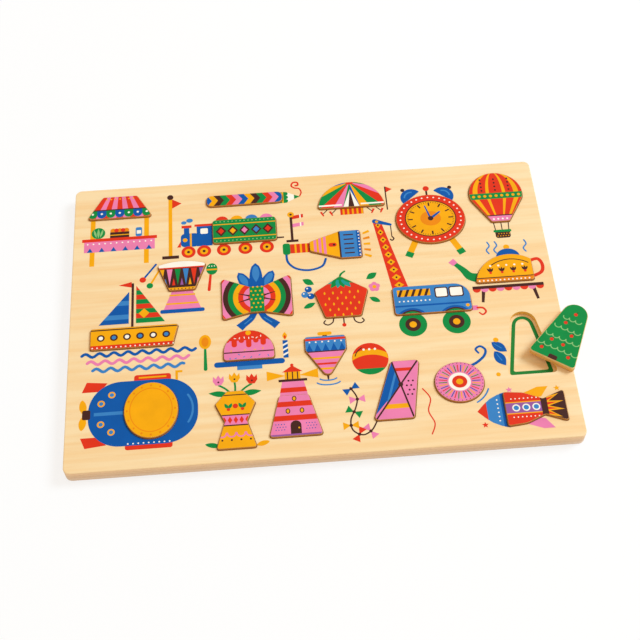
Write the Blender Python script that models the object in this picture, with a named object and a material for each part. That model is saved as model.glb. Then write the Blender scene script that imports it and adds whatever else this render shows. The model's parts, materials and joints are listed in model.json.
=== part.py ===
"""Lift-out wooden shape puzzle: a two-layer board and 22 loose pieces in their own windows.

Units are metres and +Z is up. The origin is the centre of the board's underside, with X along
the board and -Y towards its front edge. The round-topped piece is shown lifted out of its
window, lying on the board; every other piece is seated.
"""
import math

import bmesh
import bpy
from mathutils import Matrix, Vector

# The board: a plain base with a thinner sheet of windows glued on it
BASE_THICKNESS = 0.0097
SHEET_THICKNESS = 0.004
GLUE_GAP = 0.0003
BOARD_CORNER_RADIUS = 0.006
BOARD_EDGE_ROUNDING = 0.0008
RIGHT_MARGIN = 0.0126
BACK_MARGIN = 0.0114

# How every loose piece is cut and seated
PIECE_THICKNESS = 0.006
PIECE_EDGE_ROUNDING = 0.0005
WINDOW_CLEARANCE = 0.00045
SEAT_GAP = 0.0003

# Widths run along the board and depths from its front edge to its back edge
AWNING_WIDTH = 0.0625
AWNING_DEPTH = 0.0261
AWNING_TOP_WIDTH = 0.0325
AWNING_CORNER = 0.0025

PENCIL_WIDTH = 0.0726
PENCIL_DEPTH = 0.013
PENCIL_CORNER = 0.005

WAGON_WIDTH = 0.060
WAGON_DEPTH = 0.0274
WAGON_CORNER = 0.003

TENT_WIDTH = 0.064
TENT_DEPTH = 0.0305
TENT_CORNER = 0.003

CLOCK_WIDTH = 0.0655
CLOCK_DEPTH = 0.057

BALLOON_RADIUS = 0.0257
BALLOON_DEPTH = 0.0587
BALLOON_FOOT_WIDTH = 0.0167
BALLOON_SHOULDER = 0.0282
BALLOON_SHOULDER_BLEND = 0.012
BALLOON_FOOT_CORNER = 0.002

TORCH_HANDLE_DEPTH = 0.0108
TORCH_TAPER_WIDTH = 0.029
TORCH_HEAD_WIDTH = 0.0191
TORCH_HEAD_DEPTH = 0.0312
TORCH_CORNER = 0.0025

DRUM_WIDTH = 0.045
DRUM_DEPTH = 0.0325
DRUM_FOOT_WIDTH = 0.0235
DRUM_SKIN_RISE = 0.004
DRUM_CORNER = 0.002

BOAT_DECK_WIDTH = 0.0785
BOAT_KEEL_WIDTH = 0.0732
BOAT_DEPTH = 0.0221
BOAT_CORNER = 0.002

BOW_WIDTH = 0.0636
BOW_DEPTH = 0.0455
BOW_KNOT_WIDTH = 0.012
BOW_BACK_DIP = 0.0113
BOW_FRONT_DIP = 0.0062
BOW_CORNER = 0.0025

BERRY_WIDTH = 0.049
BERRY_DEPTH = 0.0443
BERRY_SHOULDER = 0.028
BERRY_BASE_WIDTH = 0.0323
BERRY_CORNER = 0.0025

TRUCK_WIDTH = 0.0698
TRUCK_DEPTH = 0.030
TRUCK_CAB_RADIUS = 0.016
TRUCK_CORNER = 0.003

TEAPOT_WIDTH = 0.0538
TEAPOT_DEPTH = 0.030
TEAPOT_CROWN_AT = 0.0335
TEAPOT_CORNER = 0.0025

TREE_WIDTH = 0.042
TREE_DEPTH = 0.0635
TREE_TOP_RADIUS = 0.0115
TREE_CORNER = 0.003

CAKE_WIDTH = 0.045
CAKE_SIDE_DEPTH = 0.0077
CAKE_CORNER = 0.003

SPINNER_WIDTH = 0.0364
SPINNER_DEPTH = 0.0393
SPINNER_SIDE_DEPTH = 0.0158
SPINNER_TIP_RADIUS = 0.0045
SPINNER_CORNER = 0.0025

PORTHOLE_WIDTH = 0.0465
PORTHOLE_DEPTH = 0.054

VASE_WIDTH = 0.035
VASE_DEPTH = 0.055
VASE_FOOT_WIDTH = 0.0346
VASE_WAIST_WIDTH = 0.0195
VASE_WAIST_AT = 0.0253
VASE_SHOULDER_AT = 0.043
VASE_MOUTH_WIDTH = 0.014
VASE_CORNER = 0.002

LIGHTHOUSE_WIDTH = 0.0462
LIGHTHOUSE_DEPTH = 0.0395
LIGHTHOUSE_TOP_WIDTH = 0.0256
LIGHTHOUSE_CORNER = 0.0025

KITE_FOOT_WIDTH = 0.0352
KITE_TOP_WIDTH = 0.025
KITE_DEPTH = 0.0568
KITE_LEAN = 0.0202
KITE_CORNER = 0.003

YO_YO_WIDTH = 0.043
YO_YO_DEPTH = 0.0395

ROCKET_BODY_DEPTH = 0.033
ROCKET_BODY_WIDTH = 0.0332
ROCKET_NECK_DEPTH = 0.0152
ROCKET_BELLY_AT = 0.0172
ROCKET_BELLY_DEPTH = 0.0294
ROCKET_BELLY_BLEND = 0.018
ROCKET_TAIL_WIDTH = 0.019
ROCKET_TAIL_DEPTH = 0.0306
ROCKET_CORNER = 0.002

# The lifted piece: its shift from its own window, and its turn about the upright
LIFTED_SHIFT_X = 0.0166
LIFTED_SHIFT_Y = 0.009
LIFTED_TURN = math.radians(-33.7)

# Wood left on each piece's left, from the board's left edge or the piece before it
ROWS = (
    (("porthole", 0.0503), ("vase", 0.0316), ("lighthouse", 0.0110), ("kite", 0.0430),
     ("yo_yo", 0.0092), ("rocket", 0.0137)),
    (("boat", 0.0193), ("cake", 0.0396), ("spinner", 0.0269), ("kite", 0.0181)),
    (("yo_yo", 0.3179), ("tree", 0.0223)),
    (("drum", 0.0794), ("bow", 0.0139), ("berry", 0.0206), ("truck", 0.0221),
     ("teapot", 0.0075)),
    (("wagon", 0.1306), ("torch", 0.0296), ("clock", 0.0351), ("balloon", 0.0071)),
    (("awning", 0.0138), ("pencil", 0.0530), ("tent", 0.0333), ("clock", 0.0085)),
)

# Wood left in front of each piece, from the board's front edge or the piece before it
COLUMNS = (
    (("porthole", 0.027), ("boat", 0.0365), ("drum", 0.0357), ("awning", 0.0547)),
    (("vase", 0.0115), ("cake", 0.0305), ("bow", 0.0129), ("wagon", 0.0412),
     ("pencil", 0.0166)),
    (("lighthouse", 0.019), ("cake", 0.0385)),
    (("spinner", 0.0764), ("berry", 0.0188), ("torch", 0.0203), ("tent", 0.0273)),
    (("kite", 0.028), ("truck", 0.0472), ("clock", 0.0465)),
    (("yo_yo", 0.0399), ("truck", 0.0526)),
    (("rocket", 0.0139), ("tree", 0.0173), ("teapot", 0.0330), ("balloon", 0.0378)),
)

# The farthest that a straight edge of a round stretch may lie from the true curve
CURVE_TOLERANCE = 0.00005
# A fillet takes at most this share of the straight edges beside it
FILLET_SHARE = 0.48
# How far a window's cutter runs past both faces of the sheet
CUTTER_OVERRUN = 0.002
# Edges of a plate that turn more sharply than this are the ones that get rounded or kept crisp
CREASE_ANGLE = math.radians(50)

WOOD_COLOUR = (0.80, 0.62, 0.38, 1.0)
WOOD_ROUGHNESS = 0.62
PAINT_ROUGHNESS = 0.45
PAINT = {
    "red": (0.78, 0.08, 0.03, 1.0),
    "pink": (0.85, 0.22, 0.43, 1.0),
    "yellow": (0.92, 0.40, 0.01, 1.0),
    "green": (0.01, 0.25, 0.05, 1.0),
    "blue": (0.01, 0.10, 0.38, 1.0),
    "sky": (0.04, 0.22, 0.54, 1.0),
    "brown": (0.07, 0.02, 0.01, 1.0),
}


def arc(centre_x, centre_y, radius, start, end):
    """Points of a round stretch from one angle to another, close enough to the true curve."""
    step = 2.0 * math.acos(1.0 - min(CURVE_TOLERANCE / radius, 1.0))
    count = max(2, math.ceil(abs(end - start) / step))
    angles = [start + (end - start) * index / count for index in range(count + 1)]
    return [Vector((centre_x + radius * math.cos(angle), centre_y + radius * math.sin(angle)))
            for angle in angles]


def filleted(corners):
    """Closed outline through (x, y, radius) corners, each rounded to its radius."""
    outline = []
    for index, (x, y, radius) in enumerate(corners):
        corner = Vector((x, y))
        back = Vector(corners[index - 1][:2]) - corner
        ahead = Vector(corners[(index + 1) % len(corners)][:2]) - corner
        half_angle = back.angle(ahead) / 2.0
        reach = min(radius / math.tan(half_angle), FILLET_SHARE * min(back.length, ahead.length))
        radius = reach * math.tan(half_angle)
        middle = corner + (back.normalized() + ahead.normalized()).normalized() * (
            radius / math.sin(half_angle))
        start = corner + back.normalized() * reach - middle
        turn = math.pi - 2.0 * half_angle
        if back.cross(ahead) > 0.0:
            turn = -turn
        start_angle = math.atan2(start.y, start.x)
        outline += arc(middle.x, middle.y, radius, start_angle, start_angle + turn)
    return outline


def rectangle(width, depth, radius):
    """Rectangle with four equal rounded corners."""
    return filleted([(0.0, 0.0, radius), (width, 0.0, radius),
                     (width, depth, radius), (0.0, depth, radius)])


def trapezium(width, depth, top_width, radius):
    """Trapezium with equal slanted sides and rounded corners."""
    inset = (width - top_width) / 2.0
    return filleted([(0.0, 0.0, radius), (width, 0.0, radius),
                     (width - inset, depth, radius), (inset, depth, radius)])


def oval(width, depth):
    """Ellipse."""
    unit = arc(0.0, 0.0, max(width, depth) / 2.0, 0.0, math.tau)[:-1]
    reach = max(width, depth)
    return [Vector((point.x * width / reach, point.y * depth / reach)) for point in unit]


def dome(width, depth, crown_at, radius):
    """Round arch on a flat base, cut off upright where the width ends before the arch does."""
    big = (crown_at ** 2 + depth ** 2) / (2.0 * depth)
    drop = depth - big
    inner = big - radius
    rise = radius - drop
    half = math.sqrt(inner ** 2 - rise ** 2)
    left_turn = math.atan2(rise, -half)
    outline = []
    if width < 2.0 * crown_at:
        side = width - radius - crown_at
        shoulder = drop + math.sqrt(inner ** 2 - side ** 2)
        right_turn = math.atan2(shoulder - drop, side)
        outline += arc(width - radius, radius, radius, -math.pi / 2.0, 0.0)
        outline += arc(width - radius, shoulder, radius, 0.0, right_turn)
    else:
        right_turn = math.atan2(rise, half)
        outline += arc(crown_at + half, radius, radius, -math.pi / 2.0, right_turn)
    outline += arc(crown_at, drop, big, right_turn, left_turn)[1:-1]
    outline += arc(crown_at - half, radius, radius, left_turn, 1.5 * math.pi)
    return outline


def arch(width, side_depth, radius):
    """Half round on two short upright sides."""
    half = width / 2.0
    return (arc(width - radius, radius, radius, -math.pi / 2.0, 0.0)
            + arc(half, side_depth, half, 0.0, math.pi)
            + arc(radius, radius, radius, math.pi, 1.5 * math.pi))


def belt(discs):
    """Outline of a tight belt round (x, y, radius) discs given counterclockwise."""
    normals = []
    for index, (x, y, radius) in enumerate(discs):
        next_x, next_y, next_radius = discs[(index + 1) % len(discs)]
        span = math.hypot(next_x - x, next_y - y)
        heading = math.atan2(next_y - y, next_x - x)
        normals.append(heading - math.pi / 2.0 + math.asin((radius - next_radius) / span))
    outline = []
    for index, (x, y, radius) in enumerate(discs):
        turn = (normals[index] - normals[index - 1]) % math.tau
        outline += arc(x, y, radius, normals[index] - turn, normals[index])
    return outline


def balloon_outline():
    """Round balloon whose straight sides run down to a narrow foot."""
    radius = BALLOON_RADIUS
    centre = BALLOON_DEPTH - radius
    foot = BALLOON_FOOT_WIDTH / 2.0
    half = math.sqrt(radius ** 2 - (centre - BALLOON_SHOULDER) ** 2)
    dip = math.atan2(BALLOON_SHOULDER - centre, half)
    crown = arc(0.0, centre, radius, dip, math.pi - dip)
    corners = [(-foot, 0.0, BALLOON_FOOT_CORNER), (foot, 0.0, BALLOON_FOOT_CORNER),
               (crown[0].x, crown[0].y, BALLOON_SHOULDER_BLEND)]
    corners += [(point.x, point.y, radius) for point in crown[2:-2]]
    corners.append((crown[-1].x, crown[-1].y, BALLOON_SHOULDER_BLEND))
    return filleted(corners)


def torch_outline():
    """Torch lying down: a taper from the handle's end to a straight head."""
    width = TORCH_TAPER_WIDTH + TORCH_HEAD_WIDTH
    handle = (TORCH_HEAD_DEPTH - TORCH_HANDLE_DEPTH) / 2.0
    return filleted([(0.0, handle, TORCH_CORNER), (TORCH_TAPER_WIDTH, 0.0, TORCH_CORNER),
                     (width, 0.0, TORCH_CORNER), (width, TORCH_HEAD_DEPTH, TORCH_CORNER),
                     (TORCH_TAPER_WIDTH, TORCH_HEAD_DEPTH, TORCH_CORNER),
                     (0.0, TORCH_HEAD_DEPTH - handle, TORCH_CORNER)])


def drum_outline():
    """Drum bowl: slanted sides under a slightly arched skin."""
    half = DRUM_WIDTH / 2.0
    side = DRUM_DEPTH - DRUM_SKIN_RISE
    radius = (half ** 2 + DRUM_SKIN_RISE ** 2) / (2.0 * DRUM_SKIN_RISE)
    spread = math.asin(half / radius)
    skin = arc(half, DRUM_DEPTH - radius, radius,
               math.pi / 2.0 - spread, math.pi / 2.0 + spread)
    foot = (DRUM_WIDTH - DRUM_FOOT_WIDTH) / 2.0
    corners = [(foot, 0.0, DRUM_CORNER), (DRUM_WIDTH - foot, 0.0, DRUM_CORNER),
               (DRUM_WIDTH, side, DRUM_CORNER)]
    corners += [(point.x, point.y, radius) for point in skin[1:-1]]
    corners.append((0.0, side, DRUM_CORNER))
    return filleted(corners)


def boat_outline():
    """Hull with an upright stern on the left and a raked stem on the right."""
    return filleted([(0.0, 0.0, BOAT_CORNER), (BOAT_KEEL_WIDTH, 0.0, BOAT_CORNER),
                     (BOAT_DECK_WIDTH, BOAT_DEPTH, BOAT_CORNER),
                     (0.0, BOAT_DEPTH, BOAT_CORNER)])


def bow_outline():
    """Ribbon bow: two loops that narrow to a knot."""
    left = (BOW_WIDTH - BOW_KNOT_WIDTH) / 2.0
    right = left + BOW_KNOT_WIDTH
    back = BOW_DEPTH - BOW_BACK_DIP
    return filleted([(0.0, 0.0, BOW_CORNER), (left, BOW_FRONT_DIP, BOW_CORNER),
                     (right, BOW_FRONT_DIP, BOW_CORNER), (BOW_WIDTH, 0.0, BOW_CORNER),
                     (BOW_WIDTH, BOW_DEPTH, BOW_CORNER), (right, back, BOW_CORNER),
                     (left, back, BOW_CORNER), (0.0, BOW_DEPTH, BOW_CORNER)])


def berry_outline():
    """Five-sided berry with its point away from the front edge."""
    inset = (BERRY_WIDTH - BERRY_BASE_WIDTH) / 2.0
    return filleted([(inset, 0.0, BERRY_CORNER), (BERRY_WIDTH - inset, 0.0, BERRY_CORNER),
                     (BERRY_WIDTH, BERRY_SHOULDER, BERRY_CORNER),
                     (BERRY_WIDTH / 2.0, BERRY_DEPTH, BERRY_CORNER),
                     (0.0, BERRY_SHOULDER, BERRY_CORNER)])


def truck_outline():
    """Truck body with a well rounded cab corner at its back right."""
    return filleted([(0.0, 0.0, TRUCK_CORNER), (TRUCK_WIDTH, 0.0, TRUCK_CORNER),
                     (TRUCK_WIDTH, TRUCK_DEPTH, TRUCK_CAB_RADIUS),
                     (0.0, TRUCK_DEPTH, TRUCK_CORNER)])


def tree_outline():
    """Tree with slanted sides and a round top."""
    return belt([(TREE_CORNER, TREE_CORNER, TREE_CORNER),
                 (TREE_WIDTH - TREE_CORNER, TREE_CORNER, TREE_CORNER),
                 (TREE_WIDTH / 2.0, TREE_DEPTH - TREE_TOP_RADIUS, TREE_TOP_RADIUS)])


def spinner_outline():
    """Spinning top: straight shoulders and a rounded tip towards the front edge."""
    corner = SPINNER_CORNER
    shoulder = SPINNER_DEPTH - SPINNER_SIDE_DEPTH + corner
    return belt([(SPINNER_WIDTH / 2.0, SPINNER_TIP_RADIUS, SPINNER_TIP_RADIUS),
                 (SPINNER_WIDTH - corner, shoulder, corner),
                 (SPINNER_WIDTH - corner, SPINNER_DEPTH - corner, corner),
                 (corner, SPINNER_DEPTH - corner, corner),
                 (corner, shoulder, corner)])


def vase_outline():
    """Vase: flared foot, narrow waist, wide shoulder and small mouth."""
    right_side = ((VASE_FOOT_WIDTH, 0.0), (VASE_WAIST_WIDTH, VASE_WAIST_AT),
                  (VASE_WIDTH, VASE_SHOULDER_AT), (VASE_MOUTH_WIDTH, VASE_DEPTH))
    right = [(width / 2.0, height, VASE_CORNER) for width, height in right_side]
    return filleted(right + [(-x, y, radius) for x, y, radius in reversed(right)])


def kite_outline():
    """Kite: a leaning four-sided sail, wider at its foot."""
    return filleted([(0.0, 0.0, KITE_CORNER), (KITE_FOOT_WIDTH, 0.0, KITE_CORNER),
                     (KITE_LEAN + KITE_TOP_WIDTH, KITE_DEPTH, KITE_CORNER),
                     (KITE_LEAN, KITE_DEPTH, KITE_CORNER)])


def rocket_outline():
    """Rocket lying down: a full body that narrows to a neck before the flared tail."""
    length = ROCKET_BODY_WIDTH + ROCKET_TAIL_WIDTH
    front_side = ((0.0, ROCKET_BODY_DEPTH, ROCKET_CORNER),
                  (ROCKET_BELLY_AT, ROCKET_BELLY_DEPTH, ROCKET_BELLY_BLEND),
                  (ROCKET_BODY_WIDTH, ROCKET_NECK_DEPTH, ROCKET_CORNER),
                  (length, ROCKET_TAIL_DEPTH, ROCKET_CORNER))
    front = [(x, -depth / 2.0, radius) for x, depth, radius in front_side]
    return filleted(front + [(x, -y, radius) for x, y, radius in reversed(front)])


def piece_outlines():
    """Every loose piece's outline and paint, by name."""
    return {
        "awning": (trapezium(AWNING_WIDTH, AWNING_DEPTH, AWNING_TOP_WIDTH, AWNING_CORNER),
                   "red"),
        "pencil": (rectangle(PENCIL_WIDTH, PENCIL_DEPTH, PENCIL_CORNER), "pink"),
        "wagon": (rectangle(WAGON_WIDTH, WAGON_DEPTH, WAGON_CORNER), "green"),
        "tent": (dome(TENT_WIDTH, TENT_DEPTH, TENT_WIDTH / 2.0, TENT_CORNER), "green"),
        "clock": (oval(CLOCK_WIDTH, CLOCK_DEPTH), "red"),
        "balloon": (balloon_outline(), "red"),
        "torch": (torch_outline(), "yellow"),
        "drum": (drum_outline(), "brown"),
        "boat": (boat_outline(), "yellow"),
        "bow": (bow_outline(), "pink"),
        "berry": (berry_outline(), "red"),
        "truck": (truck_outline(), "sky"),
        "teapot": (dome(TEAPOT_WIDTH, TEAPOT_DEPTH, TEAPOT_CROWN_AT, TEAPOT_CORNER),
                   "yellow"),
        "tree": (tree_outline(), "green"),
        "cake": (arch(CAKE_WIDTH, CAKE_SIDE_DEPTH, CAKE_CORNER), "pink"),
        "spinner": (spinner_outline(), "sky"),
        "porthole": (oval(PORTHOLE_WIDTH, PORTHOLE_DEPTH), "yellow"),
        "vase": (vase_outline(), "yellow"),
        "lighthouse": (trapezium(LIGHTHOUSE_WIDTH, LIGHTHOUSE_DEPTH, LIGHTHOUSE_TOP_WIDTH,
                                 LIGHTHOUSE_CORNER), "pink"),
        "kite": (kite_outline(), "blue"),
        "yo_yo": (oval(YO_YO_WIDTH, YO_YO_DEPTH), "pink"),
        "rocket": (rocket_outline(), "red"),
    }


def box_of(outline):
    """Lowest and highest corner of an outline's box."""
    low = Vector((min(point.x for point in outline), min(point.y for point in outline)))
    high = Vector((max(point.x for point in outline), max(point.y for point in outline)))
    return low, high


def centred(outline):
    """The same outline with the centre of its box at the origin."""
    low, high = box_of(outline)
    return [point - (low + high) / 2.0 for point in outline]


def near_edges(chains, spans):
    """Near edge of every piece along one axis, from the gaps and spans that lead up to it."""
    leads = {}
    for chain in chains:
        before = None
        for name, gap in chain:
            leads.setdefault(name, []).append((before, gap))
            before = name
    edges = {None: 0.0}

    def edge(name):
        if name not in edges:
            edges[name] = max(edge(before) + spans[before] + gap
                              for before, gap in leads[name])
        return edges[name]

    for name in leads:
        edge(name)
    return edges


def plan(outlines):
    """Board length and depth, and the centre of every window on it."""
    sizes = {name: box_of(outline)[1] * 2.0 for name, outline in outlines.items()}
    widths = {None: 0.0, **{name: size.x for name, size in sizes.items()}}
    depths = {None: 0.0, **{name: size.y for name, size in sizes.items()}}
    lefts = near_edges(ROWS, widths)
    fronts = near_edges(COLUMNS, depths)
    length = max(lefts[name] + widths[name] for name in outlines) + RIGHT_MARGIN
    depth = max(fronts[name] + depths[name] for name in outlines) + BACK_MARGIN
    half_board = Vector((length, depth)) / 2.0
    centres = {name: Vector((lefts[name], fronts[name])) + sizes[name] / 2.0 - half_board
               for name in outlines}
    return length, depth, centres


def widened(outline, distance):
    """Outline moved outwards all round by one distance."""
    result = []
    for index, point in enumerate(outline):
        back = (point - outline[index - 1]).normalized()
        ahead = (outline[(index + 1) % len(outline)] - point).normalized()
        normal = Vector((back.y + ahead.y, -back.x - ahead.x)).normalized()
        across = normal.dot(Vector((ahead.y, -ahead.x)))
        result.append(point + normal * distance / across)
    return result


def without_repeats(outline):
    """Outline with points that fall on the one before them left out."""
    return [point for index, point in enumerate(outline)
            if (point - outline[index - 1]).length > CURVE_TOLERANCE]


def plate_mesh(name, outlines, bottom, top):
    """Mesh of flat plates, one for each outline, between two heights."""
    work = bmesh.new()
    for outline in outlines:
        ring = [work.verts.new((point.x, point.y, bottom)) for point in outline]
        face = work.faces.new(ring)
        raised = bmesh.ops.extrude_face_region(work, geom=[face])["geom"]
        lifted = [item for item in raised if isinstance(item, bmesh.types.BMVert)]
        bmesh.ops.translate(work, verts=lifted, vec=(0.0, 0.0, top - bottom))
    bmesh.ops.recalc_face_normals(work, faces=work.faces)
    mesh = bpy.data.meshes.new(name)
    work.to_mesh(mesh)
    work.free()
    return mesh


def finish_object(name, mesh, colour, roughness, location=(0.0, 0.0, 0.0), turn=0.0):
    """Object in the scene with its own material and smooth round sides."""
    material = bpy.data.materials.new(name)
    material.use_nodes = True
    shader = material.node_tree.nodes["Principled BSDF"]
    shader.inputs["Base Color"].default_value = colour
    shader.inputs["Roughness"].default_value = roughness
    shader.inputs["Metallic"].default_value = 0.0
    mesh.materials.append(material)
    mesh.shade_smooth()
    mesh.set_sharp_from_angle(angle=CREASE_ANGLE)
    item = bpy.data.objects.new(name, mesh)
    item.matrix_world = Matrix.Translation(location) @ Matrix.Rotation(turn, 4, "Z")
    bpy.context.scene.collection.objects.link(item)
    return item


def round_edges(item, width):
    """Small rounding on every sharp edge of a plate."""
    bevel = item.modifiers.new("edge_rounding", "BEVEL")
    bevel.width = width
    bevel.segments = 1
    bevel.limit_method = "ANGLE"
    bevel.angle_limit = CREASE_ANGLE


def round_outer_rim(item, height, width):
    """Rounding on a board's rim at one height, with its glued face left crisp."""
    mesh = item.data
    weights = mesh.attributes.new("bevel_weight_edge", "FLOAT", "EDGE")
    for edge in mesh.edges:
        ends = [mesh.vertices[index].co.z for index in edge.vertices]
        weights.data[edge.index].value = float(all(abs(z - height) < width / 2.0 for z in ends))
    bevel = item.modifiers.new("rim_rounding", "BEVEL")
    bevel.width = width
    bevel.segments = 2
    bevel.limit_method = "WEIGHT"


def make_board(length, depth, windows):
    """Base and window sheet, one glued on the other; returns the sheet's top height."""
    outline = centred(rectangle(length, depth, BOARD_CORNER_RADIUS))
    base = finish_object("base_board", plate_mesh("base_board", [outline], 0.0, BASE_THICKNESS),
                         WOOD_COLOUR, WOOD_ROUGHNESS)
    round_outer_rim(base, 0.0, BOARD_EDGE_ROUNDING)

    bottom = BASE_THICKNESS + GLUE_GAP
    top = bottom + SHEET_THICKNESS
    sheet = finish_object("frame_board", plate_mesh("frame_board", [outline], bottom, top),
                          WOOD_COLOUR, WOOD_ROUGHNESS)
    round_outer_rim(sheet, top, BOARD_EDGE_ROUNDING)

    cutter_mesh = plate_mesh("window_cutters", windows, bottom - CUTTER_OVERRUN,
                             top + CUTTER_OVERRUN)
    cutters = bpy.data.objects.new("window_cutters", cutter_mesh)
    cutters.hide_render = True
    cutters.display_type = "WIRE"
    bpy.context.scene.collection.objects.link(cutters)
    cut = sheet.modifiers.new("windows", "BOOLEAN")
    cut.operation = "DIFFERENCE"
    cut.solver = "EXACT"
    cut.object = cutters
    return top


def make_piece(name, outline, paint, location, turn):
    """One loose piece, with its origin on the line along which it lifts."""
    mesh = plate_mesh(name, [outline], 0.0, PIECE_THICKNESS)
    piece = finish_object(name + "_piece", mesh, PAINT[paint], PAINT_ROUGHNESS, location, turn)
    round_edges(piece, PIECE_EDGE_ROUNDING)


def lifted_place(window_centre):
    """Where the lifted piece's centre lies, from its shift and turn about its front edge."""
    to_front = Vector((0.0, TREE_DEPTH / 2.0))
    shift = Vector((LIFTED_SHIFT_X, LIFTED_SHIFT_Y))
    return window_centre - to_front + shift + Matrix.Rotation(LIFTED_TURN, 2) @ to_front


def main():
    """Clear the scene and build the puzzle."""
    for item in list(bpy.data.objects):
        bpy.data.objects.remove(item, do_unlink=True)
    described = piece_outlines()
    outlines = {name: centred(without_repeats(outline))
                for name, (outline, _) in described.items()}
    length, depth, centres = plan(outlines)
    windows = [[point + centres[name] for point in widened(outline, WINDOW_CLEARANCE)]
               for name, outline in outlines.items()]
    board_top = make_board(length, depth, windows)
    seat = BASE_THICKNESS + SEAT_GAP
    for name, outline in outlines.items():
        place, height, turn = centres[name], seat, 0.0
        if name == "tree":
            place, height, turn = lifted_place(place), board_top + SEAT_GAP, LIFTED_TURN
        make_piece(name, outline, described[name][1], (place.x, place.y, height), turn)


main()
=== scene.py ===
"""Shape puzzle: prints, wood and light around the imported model.

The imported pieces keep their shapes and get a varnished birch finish. Every picture is made of
thin flat ink sheets: one on the board round each window, one on each loose piece and one on each
recess floor. Drawings are in millimetres from the centre of their own window, with x along the
board and y to its back.
"""
import json
import logging
import math
from dataclasses import dataclass, field, fields
from enum import Enum
from functools import cache, partial
from itertools import cycle
from typing import Callable, ClassVar, Sequence

import bpy
from mathutils import Matrix, Vector
from mathutils.geometry import delaunay_2d_cdt, intersect_line_line_2d


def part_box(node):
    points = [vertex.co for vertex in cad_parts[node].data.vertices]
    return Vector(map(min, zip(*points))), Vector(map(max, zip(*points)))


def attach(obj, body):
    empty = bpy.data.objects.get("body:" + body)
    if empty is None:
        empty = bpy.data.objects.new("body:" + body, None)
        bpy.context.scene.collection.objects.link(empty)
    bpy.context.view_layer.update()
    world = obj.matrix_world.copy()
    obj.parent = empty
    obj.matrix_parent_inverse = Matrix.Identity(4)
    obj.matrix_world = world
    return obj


LOG = logging.getLogger("shape_puzzle")
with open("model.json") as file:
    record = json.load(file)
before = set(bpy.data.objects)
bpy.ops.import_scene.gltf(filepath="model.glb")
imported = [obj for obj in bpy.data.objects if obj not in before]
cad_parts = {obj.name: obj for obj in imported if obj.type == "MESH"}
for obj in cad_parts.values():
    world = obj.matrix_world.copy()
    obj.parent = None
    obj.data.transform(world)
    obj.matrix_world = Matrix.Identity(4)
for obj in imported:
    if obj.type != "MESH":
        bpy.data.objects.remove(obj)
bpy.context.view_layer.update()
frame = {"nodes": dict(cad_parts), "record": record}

MM = 0.001
# An ink sheet starts this far above the wood, is this thick, and carries its small marks on top
INK_LIFT = 0.01
INK_THICKNESS = 0.05
MARK_THICKNESS = 0.03
# The farthest that a straight edge of a drawn curve may lie from the true one
CURVE_TOLERANCE = 0.04
# Stretches from one point of a smooth curve to the next, and of one edge of a leaf
CURVE_STEPS, LEAF_STEPS = 6, 10
# The longest mitre where a band bends, as a multiple of half its width, and how little of the
# one stretch's direction may be left in the other before the bend counts as a turn back
MITRE_LIMIT, MITRE_LEAST = 2.5, 0.1
# Distance between the points of an outline that is moved inwards, and the play this leaves
INSET_SPACING, INSET_PLAY = 1.0, 0.03
# Sides of a small printed dot
DOT_SIDES = 14
# How a drawing is cut into triangles, Blender's number for those inside its outlines, and how
# near in mm two of its points become one
TRIANGLES_INSIDE, SAME_POINT = 1, 1e-4
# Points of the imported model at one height, in metres, and the digits that tell two points apart
LEVEL_TOLERANCE, POINT_DIGITS = 1e-5, 6
# A piece is in its window where its middle is this near the window's, and its underside not
# this far above the base, in mm
SEATED_WITHIN, SEATED_BELOW = 0.5, 1.0

Point = tuple[float, float]
Outline = list[Point]
Box = tuple[float, float, float, float]
Path = tuple[Point, ...]
Span = tuple[float, float]
# Heights in mm and sRGB colours, from the bottom up
Plies = tuple[tuple[float, str], ...]
# One outline or nested lists of outlines
Shapes = list
Socket = bpy.types.NodeSocket
AddNode = Callable[..., Socket]


# Colours and nodes

def linear(code: str) -> tuple[float, ...]:
    """Turn six hex digits of sRGB into the linear colour, with an alpha of 1."""
    shares = [int(code[start:start + 2], 16) / 255.0 for start in (0, 2, 4)]
    return (*[share / 12.92 if share <= 0.04045 else ((share + 0.055) / 1.055) ** 2.4
              for share in shares], 1.0)


def feed(node: bpy.types.Node, inputs: dict) -> None:
    """Set a node's inputs.

    Args:
        node: The node.
        inputs: A value or another node's output for each input, by name or number.
    """
    for name, value in inputs.items():
        if isinstance(value, Socket):
            node.id_data.links.new(value, node.inputs[name])
        else:
            node.inputs[name].default_value = value


def add_node(tree: bpy.types.NodeTree, kind: str, inputs: dict | None = None,
             output: str = "", **settings: object) -> Socket | None:
    """Add a node with its settings, values and links.

    Args:
        tree: Shader or geometry tree that takes the node.
        kind: Blender's name of the node.
        inputs: A value or another node's output for each input, by name or number.
        output: Name of the output that is wanted, if not the first.
        **settings: Properties of the node itself.

    Returns:
        The node's output, if it has one.
    """
    node = tree.nodes.new(kind)
    for name, value in settings.items():
        setattr(node, name, value)
    feed(node, inputs or {})
    return next((socket for socket in node.outputs
                 if socket.enabled and output in ("", socket.name)), None)


def new_material(name: str) -> tuple[bpy.types.Material, bpy.types.Node, AddNode]:
    """Start a material that holds one Principled shader.

    Args:
        name: The finish in plain words.

    Returns:
        The material, its shader node and the function that adds a node to it.
    """
    material = bpy.data.materials.new(name)
    material.use_nodes = True
    tree = material.node_tree
    return material, tree.nodes["Principled BSDF"], partial(add_node, tree)


def new_object(name: str, data: bpy.types.ID | None,
               matrix: Matrix | None = None) -> bpy.types.Object:
    """Add an object to the scene.

    Args:
        name: Its name.
        data: Its mesh, lamp or camera.
        matrix: Its place, the origin where none is given.

    Returns:
        The object.
    """
    added = bpy.data.objects.new(name, data)
    bpy.context.scene.collection.objects.link(added)
    added.matrix_world = matrix or Matrix()
    return added


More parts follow.
